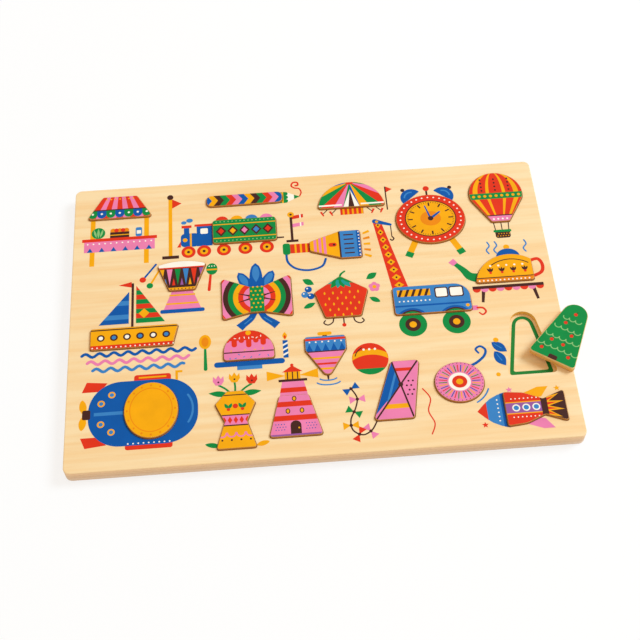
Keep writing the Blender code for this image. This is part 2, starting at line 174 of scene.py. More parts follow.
def drawn_noise(add: AddNode, place: Socket, size: tuple[float, ...], detail: float,
                roughness: float = 0.5) -> Socket:
    """Noise that is longer one way than another, such as wood fibres.

    Args:
        add: Adds a node to the material.
        place: Position in metres.
        size: Size of the noise along each axis, in mm.
        detail: Levels of finer noise.
        roughness: Strength of the finer levels.

    Returns:
        The noise value.
    """
    stretched = add("ShaderNodeMapping",
                    {"Vector": place, "Scale": [1.0 / (length * MM) for length in size]})
    return add("ShaderNodeTexNoise", {"Vector": stretched, "Scale": 1.0, "Detail": detail,
                                      "Roughness": roughness})


def set_stops(ramp: bpy.types.ColorRamp, stops: list[tuple[float, str]]) -> None:
    """Give a colour ramp its stops.

    Args:
        ramp: The ramp.
        stops: Position and sRGB colour of each.
    """
    for element, (position, code) in zip(ramp.elements, (stops[0], stops[-1])):
        element.position, element.color = position, linear(code)
    for position, code in stops[1:-1]:
        ramp.elements.new(position).color = linear(code)


class Ink(Enum):
    """Screen-printing inks, by their sRGB colours."""

    RED = "E23418"
    PINK = "EE82B2"
    YELLOW = "F8AC06"
    ORANGE = "EE8A0A"
    BLUE = "0457A8"
    SKY = "3A83C6"
    GREEN = "04893F"
    LIME = "8CC37A"
    TEAL = "1F9C92"
    MAUVE = "9A5AA0"
    BROWN = "432018"
    CREAM = "FFF9EC"
    PINE = "1F7F33"


# Each ink by its own name, in the order above
RED, PINK, YELLOW, ORANGE, BLUE, SKY, GREEN, LIME, TEAL, MAUVE, BROWN, CREAM, PINE = Ink
Inks = tuple[Ink, ...]


class SatinFinish:
    """A satin coat through which the fibres of the veneer are just felt."""

    # Between the fibres and on them
    roughness: Span
    # Strength of the fibres' relief, and its height in mm
    relief: Span
    ior: float
    specular: float

    def satin(self, add: AddNode, fibres: Socket) -> dict:
        """What the finish is besides its colour.

        Args:
            add: Adds a node to the material.
            fibres: Noise of the fibres.

        Returns:
            The shader's inputs.
        """
        sheen = add("ShaderNodeMapRange", {"Value": fibres, "To Min": self.roughness[0],
                                           "To Max": self.roughness[1]})
        strength, height = self.relief
        relief = add("ShaderNodeBump",
                     {"Height": fibres, "Strength": strength, "Distance": height * MM})
        return {"Roughness": sheen, "Normal": relief, "IOR": self.ior,
                "Specular IOR Level": self.specular}


@dataclass(frozen=True)
class VarnishedBirch(SatinFinish):
    """Birch plywood under a thin water-based varnish, sanded and sprayed.

    The face is pale with fine straight fibres along X and a slow cloudy figure; the sawn sides
    show the plies as bands, long grain paler and end grain darker, with short dark pores that
    run along the sheet. The varnish is satin, so the light spreads wide on it.
    """

    name: str
    underside: float
    thickness: float
    # Each ply of the side by its upper height in mm above the piece's underside, and its colour
    plies: Plies
    turn: float = 0.0
    # The cut walls within this reach of the middle, in mm, are browned; further out they're sanded
    scorched_reach: tuple[float, ...] = ()
    # How level a facet is where the sides' colour ends and where the face's begins
    rim: Span = (0.55, 0.9)
    scorch: str = "FFCA62"
    face: str = "FCE0B0"
    fibre: str = "EFBB80"
    figure: str = "F9D39B"
    # Length, width and depth in mm. Real fibres and pores are finer: these are drawn just coarse
    # enough to show
    fibre_size: tuple[float, ...] = (26.0, 0.55, 0.55)
    figure_size: tuple[float, ...] = (160.0, 9.0, 9.0)
    pore_size: tuple[float, ...] = (2.38, 2.38, 0.385)
    # Values of each noise at which it begins to show and at which it is full
    fibre_span: Span = (0.58, 0.74)
    figure_span: Span = (0.38, 0.62)
    pore_span: Span = (0.35, 0.6)
    fibre_strength: float = 0.42
    pore_shade: float = 0.62
    pore_strength: float = 0.4
    # Soft change between two plies, in mm
    seam: float = 0.12
    roughness: Span = (0.45, 0.61)
    relief: Span = (0.16, 0.12)
    ior: float = 1.48
    specular: float = 0.3

    def material(self) -> bpy.types.Material:
        """Build the material.

        Returns:
            The varnished birch with its fibres, figure, plies and satin sheen.
        """
        material, shader, add = new_material(self.name)
        place = add("ShaderNodeTexCoord", output="Object")
        turned_place = add("ShaderNodeMapping",
                           {"Vector": place, "Rotation": (0.0, 0.0, -self.turn)})
        fibres = drawn_noise(add, turned_place, self.fibre_size, detail=3.0, roughness=0.6)
        figure = drawn_noise(add, turned_place, self.figure_size, detail=2.0, roughness=0.6)
        clouded = add("ShaderNodeValToRGB", {"Fac": figure})
        set_stops(clouded.node.color_ramp, list(zip(self.figure_span, (self.figure, self.face))))
        streaks = add("ShaderNodeMapRange", {
            "Value": fibres, "From Min": self.fibre_span[0], "From Max": self.fibre_span[1],
            "To Max": self.fibre_strength})
        face = add("ShaderNodeMix", {"Factor": streaks, 6: clouded, 7: linear(self.fibre)},
                   data_type="RGBA")
        pores = add("ShaderNodeMapRange", {
            "Value": drawn_noise(add, place, self.pore_size, detail=3.0),
            "From Min": self.pore_span[0], "From Max": self.pore_span[1],
            "To Min": self.pore_shade})
        sides = add("ShaderNodeMix", {"Factor": self.pore_strength, 7: pores,
                                      6: self.plies_colour(add, place)},
                    data_type="RGBA", blend_type="MULTIPLY")
        normal = add("ShaderNodeNewGeometry", output="True Normal")
        upright = add("ShaderNodeSeparateXYZ", {"Vector": normal}, "Z")
        level = add("ShaderNodeMath", {0: upright}, operation="ABSOLUTE")
        is_face = add("ShaderNodeMapRange",
                      {"Value": level, "From Min": self.rim[0], "From Max": self.rim[1]})
        colour = add("ShaderNodeMix", {"Factor": is_face, 6: sides, 7: face}, data_type="RGBA")
        feed(shader, {"Base Color": colour, **self.satin(add, fibres)})
        return material

    def plies_colour(self, add: AddNode, place: Socket) -> Socket:
        """Colour of the sides: flat plies with thin soft changes, browned where a laser cut.

        Args:
            add: Adds a node to the material.
            place: Position in metres.

        Returns:
            The colour.
        """
        height = add("ShaderNodeSeparateXYZ", {"Vector": place}, "Z")
        share = add("ShaderNodeMapRange",
                    {"Value": height, "From Min": self.underside * MM,
                     "From Max": (self.underside + self.thickness) * MM})
        bands = add("ShaderNodeValToRGB", {"Fac": share})
        seam, low, stops = self.seam / self.thickness, 0.0, []
        for top, code in self.plies:
            high = top / self.thickness
            stops += [(low + seam, code), (high - seam, code)]
            low = high
        set_stops(bands.node.color_ramp, stops)
        if not self.scorched_reach:
            return bands
        inside = []
        for axis, reach in zip("XY", self.scorched_reach):
            spot = add("ShaderNodeSeparateXYZ", {"Vector": place}, axis)
            away = add("ShaderNodeMath", {0: spot}, operation="ABSOLUTE")
            inside.append(add("ShaderNodeMath", {0: away, 1: reach * MM}, operation="LESS_THAN"))
        both_ways = add("ShaderNodeMath", dict(enumerate(inside)), operation="MULTIPLY")
        return add("ShaderNodeMix", {"Factor": both_ways, 6: bands, 7: linear(self.scorch)},
                   data_type="RGBA")


@dataclass(frozen=True)
class ScreenInk(SatinFinish):
    """Water-based screen ink on varnished birch, pressed through a mesh and dried.

    It lies flat and even, a little duller than the varnish, with the fibres of the veneer just
    felt through it and a slight cloudiness where the squeegee left less ink.
    """

    ink: Ink
    cloud_size: float = 14.0
    cloud_span: Span = (0.3, 0.7)
    cloudiness: float = 0.05
    fibre_size: tuple[float, ...] = (25.0, 0.588, 0.588)
    roughness: Span = (0.44, 0.58)
    relief: Span = (0.1, 0.1)
    ior: float = 1.46
    specular: float = 0.15

    def material(self) -> bpy.types.Material:
        """Build the material.

        Returns:
            The ink's material.
        """
        material, shader, add = new_material(f"screen_ink_{self.ink.name.lower()}")
        place = add("ShaderNodeTexCoord", output="Object")
        cloud = add("ShaderNodeTexNoise",
                    {"Vector": place, "Scale": 1.0 / (self.cloud_size * MM), "Detail": 3.0})
        level = add("ShaderNodeMapRange", {
            "Value": cloud, "From Min": self.cloud_span[0], "From Max": self.cloud_span[1],
            "To Min": 1.0 - self.cloudiness, "To Max": 1.0 + self.cloudiness})
        colour = add("ShaderNodeHueSaturation", {"Value": level, "Color": linear(self.ink.value)})
        fibres = drawn_noise(add, place, self.fibre_size, detail=3.0)
        feed(shader, {"Base Color": colour, **self.satin(add, fibres)})
        return material


@cache
def ink_material(ink: Ink) -> bpy.types.Material:
    """The material of one ink, made when it is first asked for."""
    return ScreenInk(ink).material()


# Flat shapes, each a closed outline in millimetres

def polar(x: float, y: float, reach: float, heading: float) -> Point:
    """Point at a distance from another, in the direction of a heading in degrees."""
    return x + reach * math.cos(math.radians(heading)), y + reach * math.sin(math.radians(heading))


def arc(x: float, y: float, radius: float, start: float, end: float,
        squeeze: float = 1.0) -> Outline:
    """Points on an arc from one angle to another.

    Args:
        x: Centre.
        y: Centre.
        radius: Radius along x.
        start: First angle in degrees.
        end: Last angle in degrees.
        squeeze: Height of the arc as a share of its width.

    Returns:
        The points, both ends among them.
    """
    step = 2.0 * math.acos(1.0 - min(CURVE_TOLERANCE / max(radius, CURVE_TOLERANCE), 1.0))
    count = max(3, math.ceil(abs(math.radians(end - start)) / step))
    spots = [polar(0.0, 0.0, radius, start + (end - start) * index / count)
             for index in range(count + 1)]
    return [(x + run, y + rise * squeeze) for run, rise in spots]


def oval(x: float, y: float, half_width: float, half_height: float = 0.0) -> Outline:
    """Ellipse, or a circle where no height is given."""
    return arc(x, y, half_width, 0.0, 360.0, (half_height or half_width) / half_width)[:-1]


def sector(x: float, y: float, radius: float, start: float, end: float,
           inner: float = 0.0) -> Outline:
    """Slice of a disc or, with an inner radius, of a ring."""
    outer = arc(x, y, radius, start, end)
    return outer + (arc(x, y, inner, end, start) if inner else [(x, y)])


def box(left: float, low: float, right: float, high: float) -> Outline:
    """Upright rectangle."""
    return [(left, low), (right, low), (right, high), (left, high)]


def rounded(left: float, low: float, right: float, high: float, radius: float) -> Outline:
    """Upright rectangle with round corners."""
    corners = box(left + radius, low + radius, right - radius, high - radius)
    return [spot for turn, (x, y) in zip((180.0, 270.0, 0.0, 90.0), corners)
            for spot in arc(x, y, radius, turn, turn + 90.0)]


def diamond(x: float, y: float, half_width: float, half_height: float) -> Outline:
    """Diamond that stands on its point."""
    return [(x, y - half_height), (x + half_width, y), (x, y + half_height), (x - half_width, y)]


def triangle(x: float, y: float, half_width: float, height: float) -> Outline:
    """Triangle on a level foot, hanging from it where the height is negative."""
    return [(x - half_width, y), (x + half_width, y), (x, y + height)]


def leaf(x: float, y: float, length: float, width: float, heading: float,
         blunt: float = 1.0) -> Outline:
    """Leaf that grows from a point.

    Args:
        x: Where the stalk joins.
        y: Where the stalk joins.
        length: From stalk to tip.
        width: At its widest.
        heading: Direction of the tip in degrees.
        blunt: 1 for two pointed ends, less for a rounder tip.

    Returns:
        The leaf's outline.
    """
    shares = [index / LEAF_STEPS for index in range(LEAF_STEPS + 1)]
    edge = [(share * length,
             width / 2.0 * math.sin(math.pi * share) ** (1.0 if share < 0.5 else blunt))
            for share in shares]
    whole = [(run, -rise) for run, rise in edge] + edge[-2:0:-1]
    return [(x + run, y + rise) for run, rise in turned(whole, math.radians(heading))]


def smooth(points: Sequence[Point]) -> Outline:
    """Curve that passes through every given point.

    Args:
        points: The points in order.

    Returns:
        Closer points on the curve.
    """
    last = len(points) - 1
    result: Outline = []
    for index in range(last):
        around = [points[min(max(index + shift, 0), last)] for shift in (-1, 0, 1, 2)]
        for share in (step / CURVE_STEPS for step in range(CURVE_STEPS)):
            result.append(tuple(
                0.5 * (2 * b + (c - a) * share + (2 * a - 5 * b + 4 * c - d) * share ** 2
                       + (3 * b - a - 3 * c + d) * share ** 3)
                for a, b, c, d in zip(*around)))
    return [*result, points[-1]]


def strip(path: Sequence[Point], width: float, end_width: float = 0.0) -> list[Outline]:
    """Band of ink along a path, as one four-sided shape for each stretch.

    Args:
        path: The band's middle line.
        width: Its width, at its start.
        end_width: Its width at the end, the same where none is given.

    Returns:
        The outlines of its stretches.
    """
    last, spots = len(path) - 1, [Vector(spot) for spot in path]
    end_width = end_width or width
    runs = [(end - start).normalized() for start, end in zip(spots, spots[1:])]
    sides: list[tuple[Vector, Vector]] = []
    for index, (spot, before, after) in enumerate(zip(spots, runs[:1] + runs, runs + runs[-1:])):
        across = Vector((-after.y, after.x))
        normal = Vector((-before.y - after.y, before.x + after.x))
        normal = normal.normalized() if normal.length > MITRE_LEAST else across
        reach = min(MITRE_LIMIT, 1.0 / max(MITRE_LEAST, normal.dot(across)))
        side = normal * reach * (width + (end_width - width) * index / last) / 2.0
        sides.append((spot - side, spot + side))
    return [[tuple(right), tuple(next_right), tuple(next_left), tuple(left)]
            for (right, left), (next_right, next_left) in zip(sides, sides[1:])]


def stroke(path: Sequence[Point], width: float, end_width: float = 0.0) -> list[Outline]:
    """Band of ink along a path, with round ends."""
    return strip(path, width, end_width) + [oval(*path[0], width / 2.0),
                                            oval(*path[-1], (end_width or width) / 2.0)]


def curve(points: Sequence[Point], width: float, end_width: float = 0.0) -> list[Outline]:
    """Band of ink along a smooth curve, with round ends."""
    return stroke(smooth(points), width, end_width)


def every(shapes: Shapes) -> list[Outline]:
    """One outline or nested lists of outlines, as a plain list of outlines."""
    single = isinstance(shapes[0][0], (int, float))
    return [list(shapes)] if single else [outline for shape in shapes for outline in every(shape)]


def mirrored(shapes: Shapes, axis: int = 0) -> list[Outline]:
    """The same shapes on the other side of the window's middle, or with 1 for axis, below it."""
    return [[(x, -y) if axis else (-x, y) for x, y in outline] for outline in every(shapes)]


def both(shapes: Shapes, axis: int = 0) -> list[Outline]:
    """Shapes and their mirror images."""
    return every(shapes) + mirrored(shapes, axis)


def row(count: int, pitch: float) -> list[float]:
    """Evenly spaced places on both sides of zero."""
    return [(index - (count - 1) / 2.0) * pitch for index in range(count)]


def area(outline: Outline) -> float:
    """Area inside an outline, negative where it runs clockwise."""
    return sum(a[0] * b[1] - b[0] * a[1] for a, b in zip(outline[-1:] + outline[:-1], outline)) / 2


def turned(outline: Outline, angle: float) -> Outline:
    """Outline turned about the origin by an angle in radians."""
    cos, sin = math.cos(angle), math.sin(angle)
    return [(x * cos - y * sin, x * sin + y * cos) for x, y in outline]


def inset(outline: Outline, distance: float) -> Outline:
    """Outline moved inwards all round, with the corners that this closes up left out.

    Args:
        outline: A closed outline that runs anticlockwise.
        distance: How far it moves.

    Returns:
        The smaller outline.
    """
    spaced: list[tuple[Vector, Vector]] = []
    for start, end in zip(outline, outline[1:] + outline[:1]):
        start, run = Vector(start), Vector(end) - Vector(start)
        inwards = Vector((-run.y, run.x)).normalized()
        count = max(1, round(run.length / INSET_SPACING))
        spaced += [(start + run * (index + 0.5) / count, inwards) for index in range(count)]
    clear = (distance - INSET_PLAY) ** 2
    moved = [point + inwards * distance for point, inwards in spaced]
    return [tuple(spot) for spot in moved
            if all((spot - point).length_squared > clear for point, _ in spaced)]


def eased(outline: Outline, reach: int = 2) -> Outline:
    """Evenly spaced outline with its corners rounded over a few points each way."""
    count, around = len(outline), range(-reach, reach + 1)
    return [tuple(sum(outline[(index + step) % count][axis] for step in around) / len(around)
                  for axis in (0, 1)) for index in range(count)]


# What repeats: Geometry Nodes trees, each built once

@dataclass
class Repeat:
    """Marks that repeat, made by one Geometry Nodes tree for each kind.

    The fields after the first three are the tree's named inputs, in mm where they are lengths.
    """

    ink: Ink
    x: float
    y: float
    trees: ClassVar[dict[str, bpy.types.NodeTree]] = {}
    # Inputs that aren't lengths
    plain_numbers: ClassVar[tuple[str, ...]] = ("squeeze", "turn")
    kinds: ClassVar[dict[type, str]] = {int: "NodeSocketInt", float: "NodeSocketFloat",
                                        bool: "NodeSocketBool"}

    @staticmethod
    def marks(add: AddNode, given: dict[str, Socket]) -> Socket:
        """Add the nodes that make the marks, and give their geometry output."""
        raise NotImplementedError

    def tree(self) -> bpy.types.NodeTree:
        """Build this kind's tree, or give the one that is there.

        Returns:
            The finished tree, which ends in realized, dressed marks.
        """
        name = type(self).__name__
        if name in self.trees:
            return self.trees[name]
        tree = self.trees[name] = bpy.data.node_groups.new(name, "GeometryNodeTree")
        inputs = {item.name: self.kinds[item.type] for item in fields(self)[3:]}
        inputs |= {"centre": "NodeSocketVector", "thickness": "NodeSocketFloat",
                   "material": "NodeSocketMaterial"}
        for label, kind in inputs.items():
            tree.interface.new_socket(label, in_out="INPUT", socket_type=kind)
        tree.interface.new_socket("marks", in_out="OUTPUT", socket_type="NodeSocketGeometry")
        add = partial(add_node, tree)
        given = add("NodeGroupInput").node.outputs
        placed = add("GeometryNodeTransform",
                     {"Geometry": self.marks(add, given), "Translation": given["centre"]})
        real = add("GeometryNodeRealizeInstances", {"Geometry": placed})
        dressed = add("GeometryNodeSetMaterial", {"Geometry": real, "Material": given["material"]})
        add("NodeGroupOutput", {"marks": dressed})
        return tree

    def mesh(self, base: float, angle: float, at: Point) -> bpy.types.Mesh:
        """Make the marks as a plain mesh in the row frame.

        Args:
            base: Height of the marks' underside in mm.
            angle: Turn of the drawing about its window's centre, in radians.
            at: Place of the drawing's origin in mm.

        Returns:
            The mesh, in metres.
        """
        tree = self.tree()
        holder = new_object(tree.name, bpy.data.meshes.new(tree.name))
        modifier = holder.modifiers.new(tree.name, "NODES")
        modifier.node_group = tree
        given = {"centre": (self.x * MM, self.y * MM, 0.0), "thickness": MARK_THICKNESS * MM,
                 "material": ink_material(self.ink)}
        for item in fields(self)[3:]:
            value = getattr(self, item.name)
            length = item.type is float and item.name not in self.plain_numbers
            given[item.name] = item.type(value * MM if length else value)
        for item in tree.interface.items_tree:
            if item.in_out == "INPUT":
                modifier[item.identifier] = given[item.name]
        shown = holder.evaluated_get(bpy.context.evaluated_depsgraph_get())
        mesh = bpy.data.meshes.new_from_object(shown)
        bpy.data.objects.remove(holder)
        mesh.transform(Matrix.Translation(Vector((*at, base + MARK_THICKNESS / 2.0)) * MM)
                       @ Matrix.Rotation(angle, 4, "Z"))
        return mesh


@dataclass
class DotGrid(Repeat):
    """Rows of round dots, every other row shifted."""

    columns: int
    pitch: float
    radius: float
    rows: int = 1
    row_pitch: float = 1.0
    shift: float = 0.0

    @staticmethod
    def marks(add: AddNode, given: dict[str, Socket]) -> Socket:
        """Add the nodes that make the dots.

        Args:
            add: Adds a node to the tree.
            given: The tree's inputs.

        Returns:
            The dots.
        """
        spans = []
        for count, pitch in (("columns", "pitch"), ("rows", "row_pitch")):
            steps = add("ShaderNodeMath", {0: given[count], 1: 1.0}, operation="SUBTRACT")
            spans.append(add("ShaderNodeMath", {0: steps, 1: given[pitch]}, operation="MULTIPLY"))
        grid = add("GeometryNodeMeshGrid",
                   {"Size X": spans[0], "Size Y": spans[1], "Vertices X": given["columns"],
                    "Vertices Y": given["rows"]})
        level = add("ShaderNodeMath", {0: add("GeometryNodeInputIndex"), 1: given["rows"]},
                    operation="MODULO")
        odd = add("ShaderNodeMath", {0: level, 1: 2.0}, operation="MODULO")
        shift = add("ShaderNodeMath", {0: odd, 1: given["shift"]}, operation="MULTIPLY")
        spots = add("GeometryNodeSetPosition",
                    {"Geometry": grid, "Offset": add("ShaderNodeCombineXYZ", {"X": shift})})
        dot = add("GeometryNodeMeshCylinder",
                  {"Vertices": DOT_SIDES, "Radius": given["radius"],
                   "Depth": given["thickness"]})
        return add("GeometryNodeInstanceOnPoints", {"Points": spots, "Instance": dot})


@dataclass
class MarkRing(Repeat):
    """Bars that point outwards, or dots, on an oval ring."""

    count: int
    radius: float
    width: float
    length: float = 0.0
    squeeze: float = 1.0
    turn: float = 0.0
    dots: bool = False

    @staticmethod
    def marks(add: AddNode, given: dict[str, Socket]) -> Socket:
        """Add the nodes that make the ring.

        Args:
            add: Adds a node to the tree.
            given: The tree's inputs.

        Returns:
            The ring of marks.
        """
        ring = add("GeometryNodeMeshCircle",
                   {"Vertices": given["count"], "Radius": given["radius"]})
        axes = add("ShaderNodeSeparateXYZ", {"Vector": add("GeometryNodeInputPosition")})
        heading = add("ShaderNodeMath", {0: axes.node.outputs["Y"], 1: axes}, operation="ARCTAN2")
        size = add("ShaderNodeCombineXYZ",
                   {"X": given["length"], "Y": given["width"], "Z": given["thickness"]})
        bar = add("GeometryNodeMeshCube", {"Size": size})
        half = add("ShaderNodeMath", {0: given["width"], 1: 0.5}, operation="MULTIPLY")
        dot = add("GeometryNodeMeshCylinder",
                  {"Vertices": DOT_SIDES, "Radius": half, "Depth": given["thickness"]})
        shape = add("GeometryNodeSwitch", {"Switch": given["dots"], "False": bar, "True": dot},
                    input_type="GEOMETRY")
        marks = add("GeometryNodeInstanceOnPoints",
                    {"Points": ring, "Instance": shape,
                     "Rotation": add("ShaderNodeCombineXYZ", {"Z": heading})})
        turn = add("ShaderNodeCombineXYZ", {"Z": given["turn"]})
        squeeze = add("ShaderNodeCombineXYZ", {"X": 1.0, "Y": given["squeeze"], "Z": 1.0})
        aimed = add("GeometryNodeTransform", {"Geometry": marks, "Rotation": turn})
        return add("GeometryNodeTransform", {"Geometry": aimed, "Scale": squeeze})


@dataclass
class Sprinkles(Repeat):
    """Short bars strewn over a rectangle, never too close, the same ones on every run."""

    field_width: float
    field_depth: float
    spacing: float
    length: float
    width: float
    seed: int
    # Points on a square metre, before those that are too close are taken out
    density: ClassVar[float] = 4e6

    @staticmethod
    def marks(add: AddNode, given: dict[str, Socket]) -> Socket:
        """Add the nodes that strew the bars.

        Args:
            add: Adds a node to the tree.
            given: The tree's inputs.

        Returns:
            The sprinkles.
        """
        ground = add("GeometryNodeMeshGrid",
                     {"Size X": given["field_width"], "Size Y": given["field_depth"],
                      "Vertices X": 2, "Vertices Y": 2})
        spots = add("GeometryNodeDistributePointsOnFaces",
                    {"Mesh": ground, "Distance Min": given["spacing"],
                     "Density Max": Sprinkles.density, "Seed": given["seed"]},
                    distribute_method="POISSON")
        spin = add("FunctionNodeRandomValue", {"Min": 0.0, "Max": math.tau, "Seed": given["seed"]})
        size = add("ShaderNodeCombineXYZ",
                   {"X": given["length"], "Y": given["width"], "Z": given["thickness"]})
        return add("GeometryNodeInstanceOnPoints",
                   {"Points": spots, "Instance": add("GeometryNodeMeshCube", {"Size": size}),
                    "Rotation": add("ShaderNodeCombineXYZ", {"Z": spin})})


# Drawings and their ink sheets

@dataclass
class Drawing:
    """Marks in the order they are printed, a later one over an earlier one."""

    marks: list[tuple[Outline, Ink | None]] = field(default_factory=list, init=False)
    repeats: list[Repeat] = field(default_factory=list, init=False)

    def lay(self, *marks: Ink | Repeat | Shapes | Path | None) -> None:
        """Print shapes.

        Args:
            *marks: Outlines in mm, or nested lists of them, after the ink that they take. After
                None, they take away what lies under them. A Repeat brings its own ink.
        """
        ink = None
        for mark in marks:
            if mark is None or isinstance(mark, Ink):
                ink = mark
            elif isinstance(mark, Repeat):
                self.repeats.append(mark)
            else:
                self.marks += [(outline if area(outline) > 0.0 else outline[::-1], ink)
                               for outline in every(mark)]

    def take_turns(self, inks: Sequence[Ink], shapes: Sequence[Shapes]) -> None:
        """Print shapes, or lists of them, in inks that take turns."""
        for ink, shape in zip(cycle(inks), shapes):
            self.lay(ink, shape)

    def discs(self, spots: Sequence[Point], *layers: tuple) -> None:
        """Print ovals on one another at every spot, each layer an ink and one or two radii."""
        for ink, *radii in layers:
            self.lay(ink, [oval(*spot, *radii) for spot in spots])

    def faces(self, clip: Outline | None, holes: list[Outline]
              ) -> tuple[list[Point], list[tuple[list[int], Ink]]]:
        """Cut the marks into faces that don't overlap, each in the ink that shows there.

        Args:
            clip: Outline that the print keeps inside of, if there is one.
            holes: Outlines that the print stays out of.

        Returns:
            The points, and each face's corners and ink.
        """
        outlines = [outline for outline, _ in self.marks] + ([clip] if clip else []) + holes
        clip_at = len(self.marks)
        first_hole = clip_at + bool(clip)
        points: list[Vector] = []
        loops: list[list[int]] = []
        for outline in outlines:
            loops.append(list(range(len(points), len(points) + len(outline))))
            points += [Vector(point) for point in outline]
        # Of each face it also gives the outlines that the face lies in, by their numbers
        found, _, corners, _, _, sources = delaunay_2d_cdt(
            points, [], loops, TRIANGLES_INSIDE, SAME_POINT)
        kept = []
        for face, source in zip(corners, sources):
            over = [index for index in source if index < clip_at]
            outside = clip and clip_at not in source
            if not over or outside or max(source) >= first_hole:
                continue
            ink = self.marks[max(over)][1]
            if ink:
                kept.append((list(face), ink))
        return [tuple(point) for point in found], kept


@dataclass
class InkSheet:
    """A thin closed sheet of ink on one surface."""

    name: str
    body: str
    slot: str
    # Height of the wood under it and place of the drawing's origin, in mm, and its turn in radians
    surface: float
    at: Point
    angle: float = 0.0

    def solid(self, points: list[Point], faces: list[tuple[list[int], Ink]]
              ) -> tuple[list[Vector], list[list[int]], list[Ink]]:
        """Give flat faces their thickness.

        Args:
            points: The points in mm, in the drawing's own place.
            faces: Each face's corners and ink.

        Returns:
            Corners in metres, polygons, and each polygon's ink.
        """
        used = sorted({corner for corners, _ in faces for corner in corners})
        number = {corner: index for index, corner in enumerate(used)}
        low, count = self.surface + INK_LIFT, len(used)
        placed = turned([points[corner] for corner in used], self.angle)
        spots = [Vector((self.at[0] + x, self.at[1] + y, height)) * MM
                 for height in (low, low + INK_THICKNESS) for x, y in placed]
        rings = [[number[corner] for corner in corners] for corners, _ in faces]
        inks = [ink for _, ink in faces]
        edges = {edge: ink for ring, ink in zip(rings, inks)
                 for edge in zip(ring, ring[1:] + ring[:1])}
        walls = {edge: ink for edge, ink in edges.items() if edge[::-1] not in edges}
        polygons = [[corner + count for corner in ring] for ring in rings]
        polygons += [ring[::-1] for ring in rings]
        polygons += [[start, end, end + count, start + count] for start, end in walls]
        return spots, polygons, inks * 2 + list(walls.values())

    def print(self, drawing: Drawing, clip: Outline | None, holes: list[Outline]) -> None:
        """Make the sheet's object, put it on its body and clear the drawing.

        Args:
            drawing: What is printed.
            clip: Outline that the print keeps inside of, if there is one.
            holes: Outlines that the print stays out of.
        """
        spots, polygons, inks = self.solid(*drawing.faces(clip, holes))
        for repeat in drawing.repeats:
            marks = repeat.mesh(self.surface + INK_LIFT + INK_THICKNESS, self.angle, self.at)
            start = len(spots)
            spots += [vertex.co.copy() for vertex in marks.vertices]
            polygons += [[start + corner for corner in polygon.vertices]
                         for polygon in marks.polygons]
            inks += [repeat.ink] * len(marks.polygons)
            bpy.data.meshes.remove(marks)
        mesh = bpy.data.meshes.new(self.name)
        mesh.from_pydata(spots, [], polygons)
        used = [ink for ink in Ink if ink in inks]
        for ink in used:
            mesh.materials.append(ink_material(ink))
        mesh.polygons.foreach_set("material_index", [used.index(ink) for ink in inks])
        mesh.update()
        sheet = new_object(self.name, mesh)
        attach(sheet, self.body)
        LOG.info("%s: %d faces on %s", self.name, len(polygons), self.body)
        drawing.marks.clear()
        drawing.repeats.clear()


# Where the pictures go

def top_loops(node: str) -> list[Outline]:
    """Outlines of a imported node's top face.

    Args:
        node: The node's name.

    Returns:
        Every closed outline at the node's top, in mm, running anticlockwise.
    """
    mesh, top = frame["nodes"][node].data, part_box(node)[1].z
    keys = [(round(vertex.co.x, POINT_DIGITS), round(vertex.co.y, POINT_DIGITS))
            if top - vertex.co.z < LEVEL_TOLERANCE else None for vertex in mesh.vertices]
    edges: set[tuple[Point, Point]] = set()
    for polygon in mesh.polygons:
        ring = [keys[index] for index in polygon.vertices]
        if None not in ring:
            edges |= set(zip(ring, ring[1:] + ring[:1]))
    ahead = {start: end for start, end in edges if (end, start) not in edges}
    loops = []
    while ahead:
        start, spot = ahead.popitem()
        loop = [start]
        while spot != start:
            loop.append(spot)
            spot = ahead.pop(spot)
        loop = [(x / MM, y / MM) for x, y in loop]
        loops.append(loop if area(loop) > 0.0 else loop[::-1])
    return loops


def middle(outline: Outline) -> Point:
    """Centre of an outline's box."""
    return tuple((min(values) + max(values)) / 2.0 for values in zip(*outline))


def moved(outline: Outline, away: Point) -> Outline:
    """Outline measured from another origin."""
    return [(x - away[0], y - away[1]) for x, y in outline]


def foot_heading(outline: Outline) -> float:
    """Direction of a tapered outline's foot.

    Args:
        outline: A round-topped outline that narrows upwards.

    Returns:
        The direction in radians of its third longest edge, after its two sides.
    """
    edges = [Vector(end) - Vector(start)
             for start, end in zip(outline, outline[1:] + outline[:1])]
    foot = sorted(edges, key=lambda edge: edge.length)[-3]
    return math.atan2(foot.y, foot.x)


@dataclass
class Place:
    """Where one motif goes: its window and its piece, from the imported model.

    The outlines are in mm from the window's or the piece's own middle, with the piece turned as
    it would lie in its window. turn is how far it is turned where it lies, in radians.
    """

    body: str
    slot: str
    window: Outline
    face: Outline
    window_at: Point
    piece_at: Point
    turn: float
    others: list[Outline]


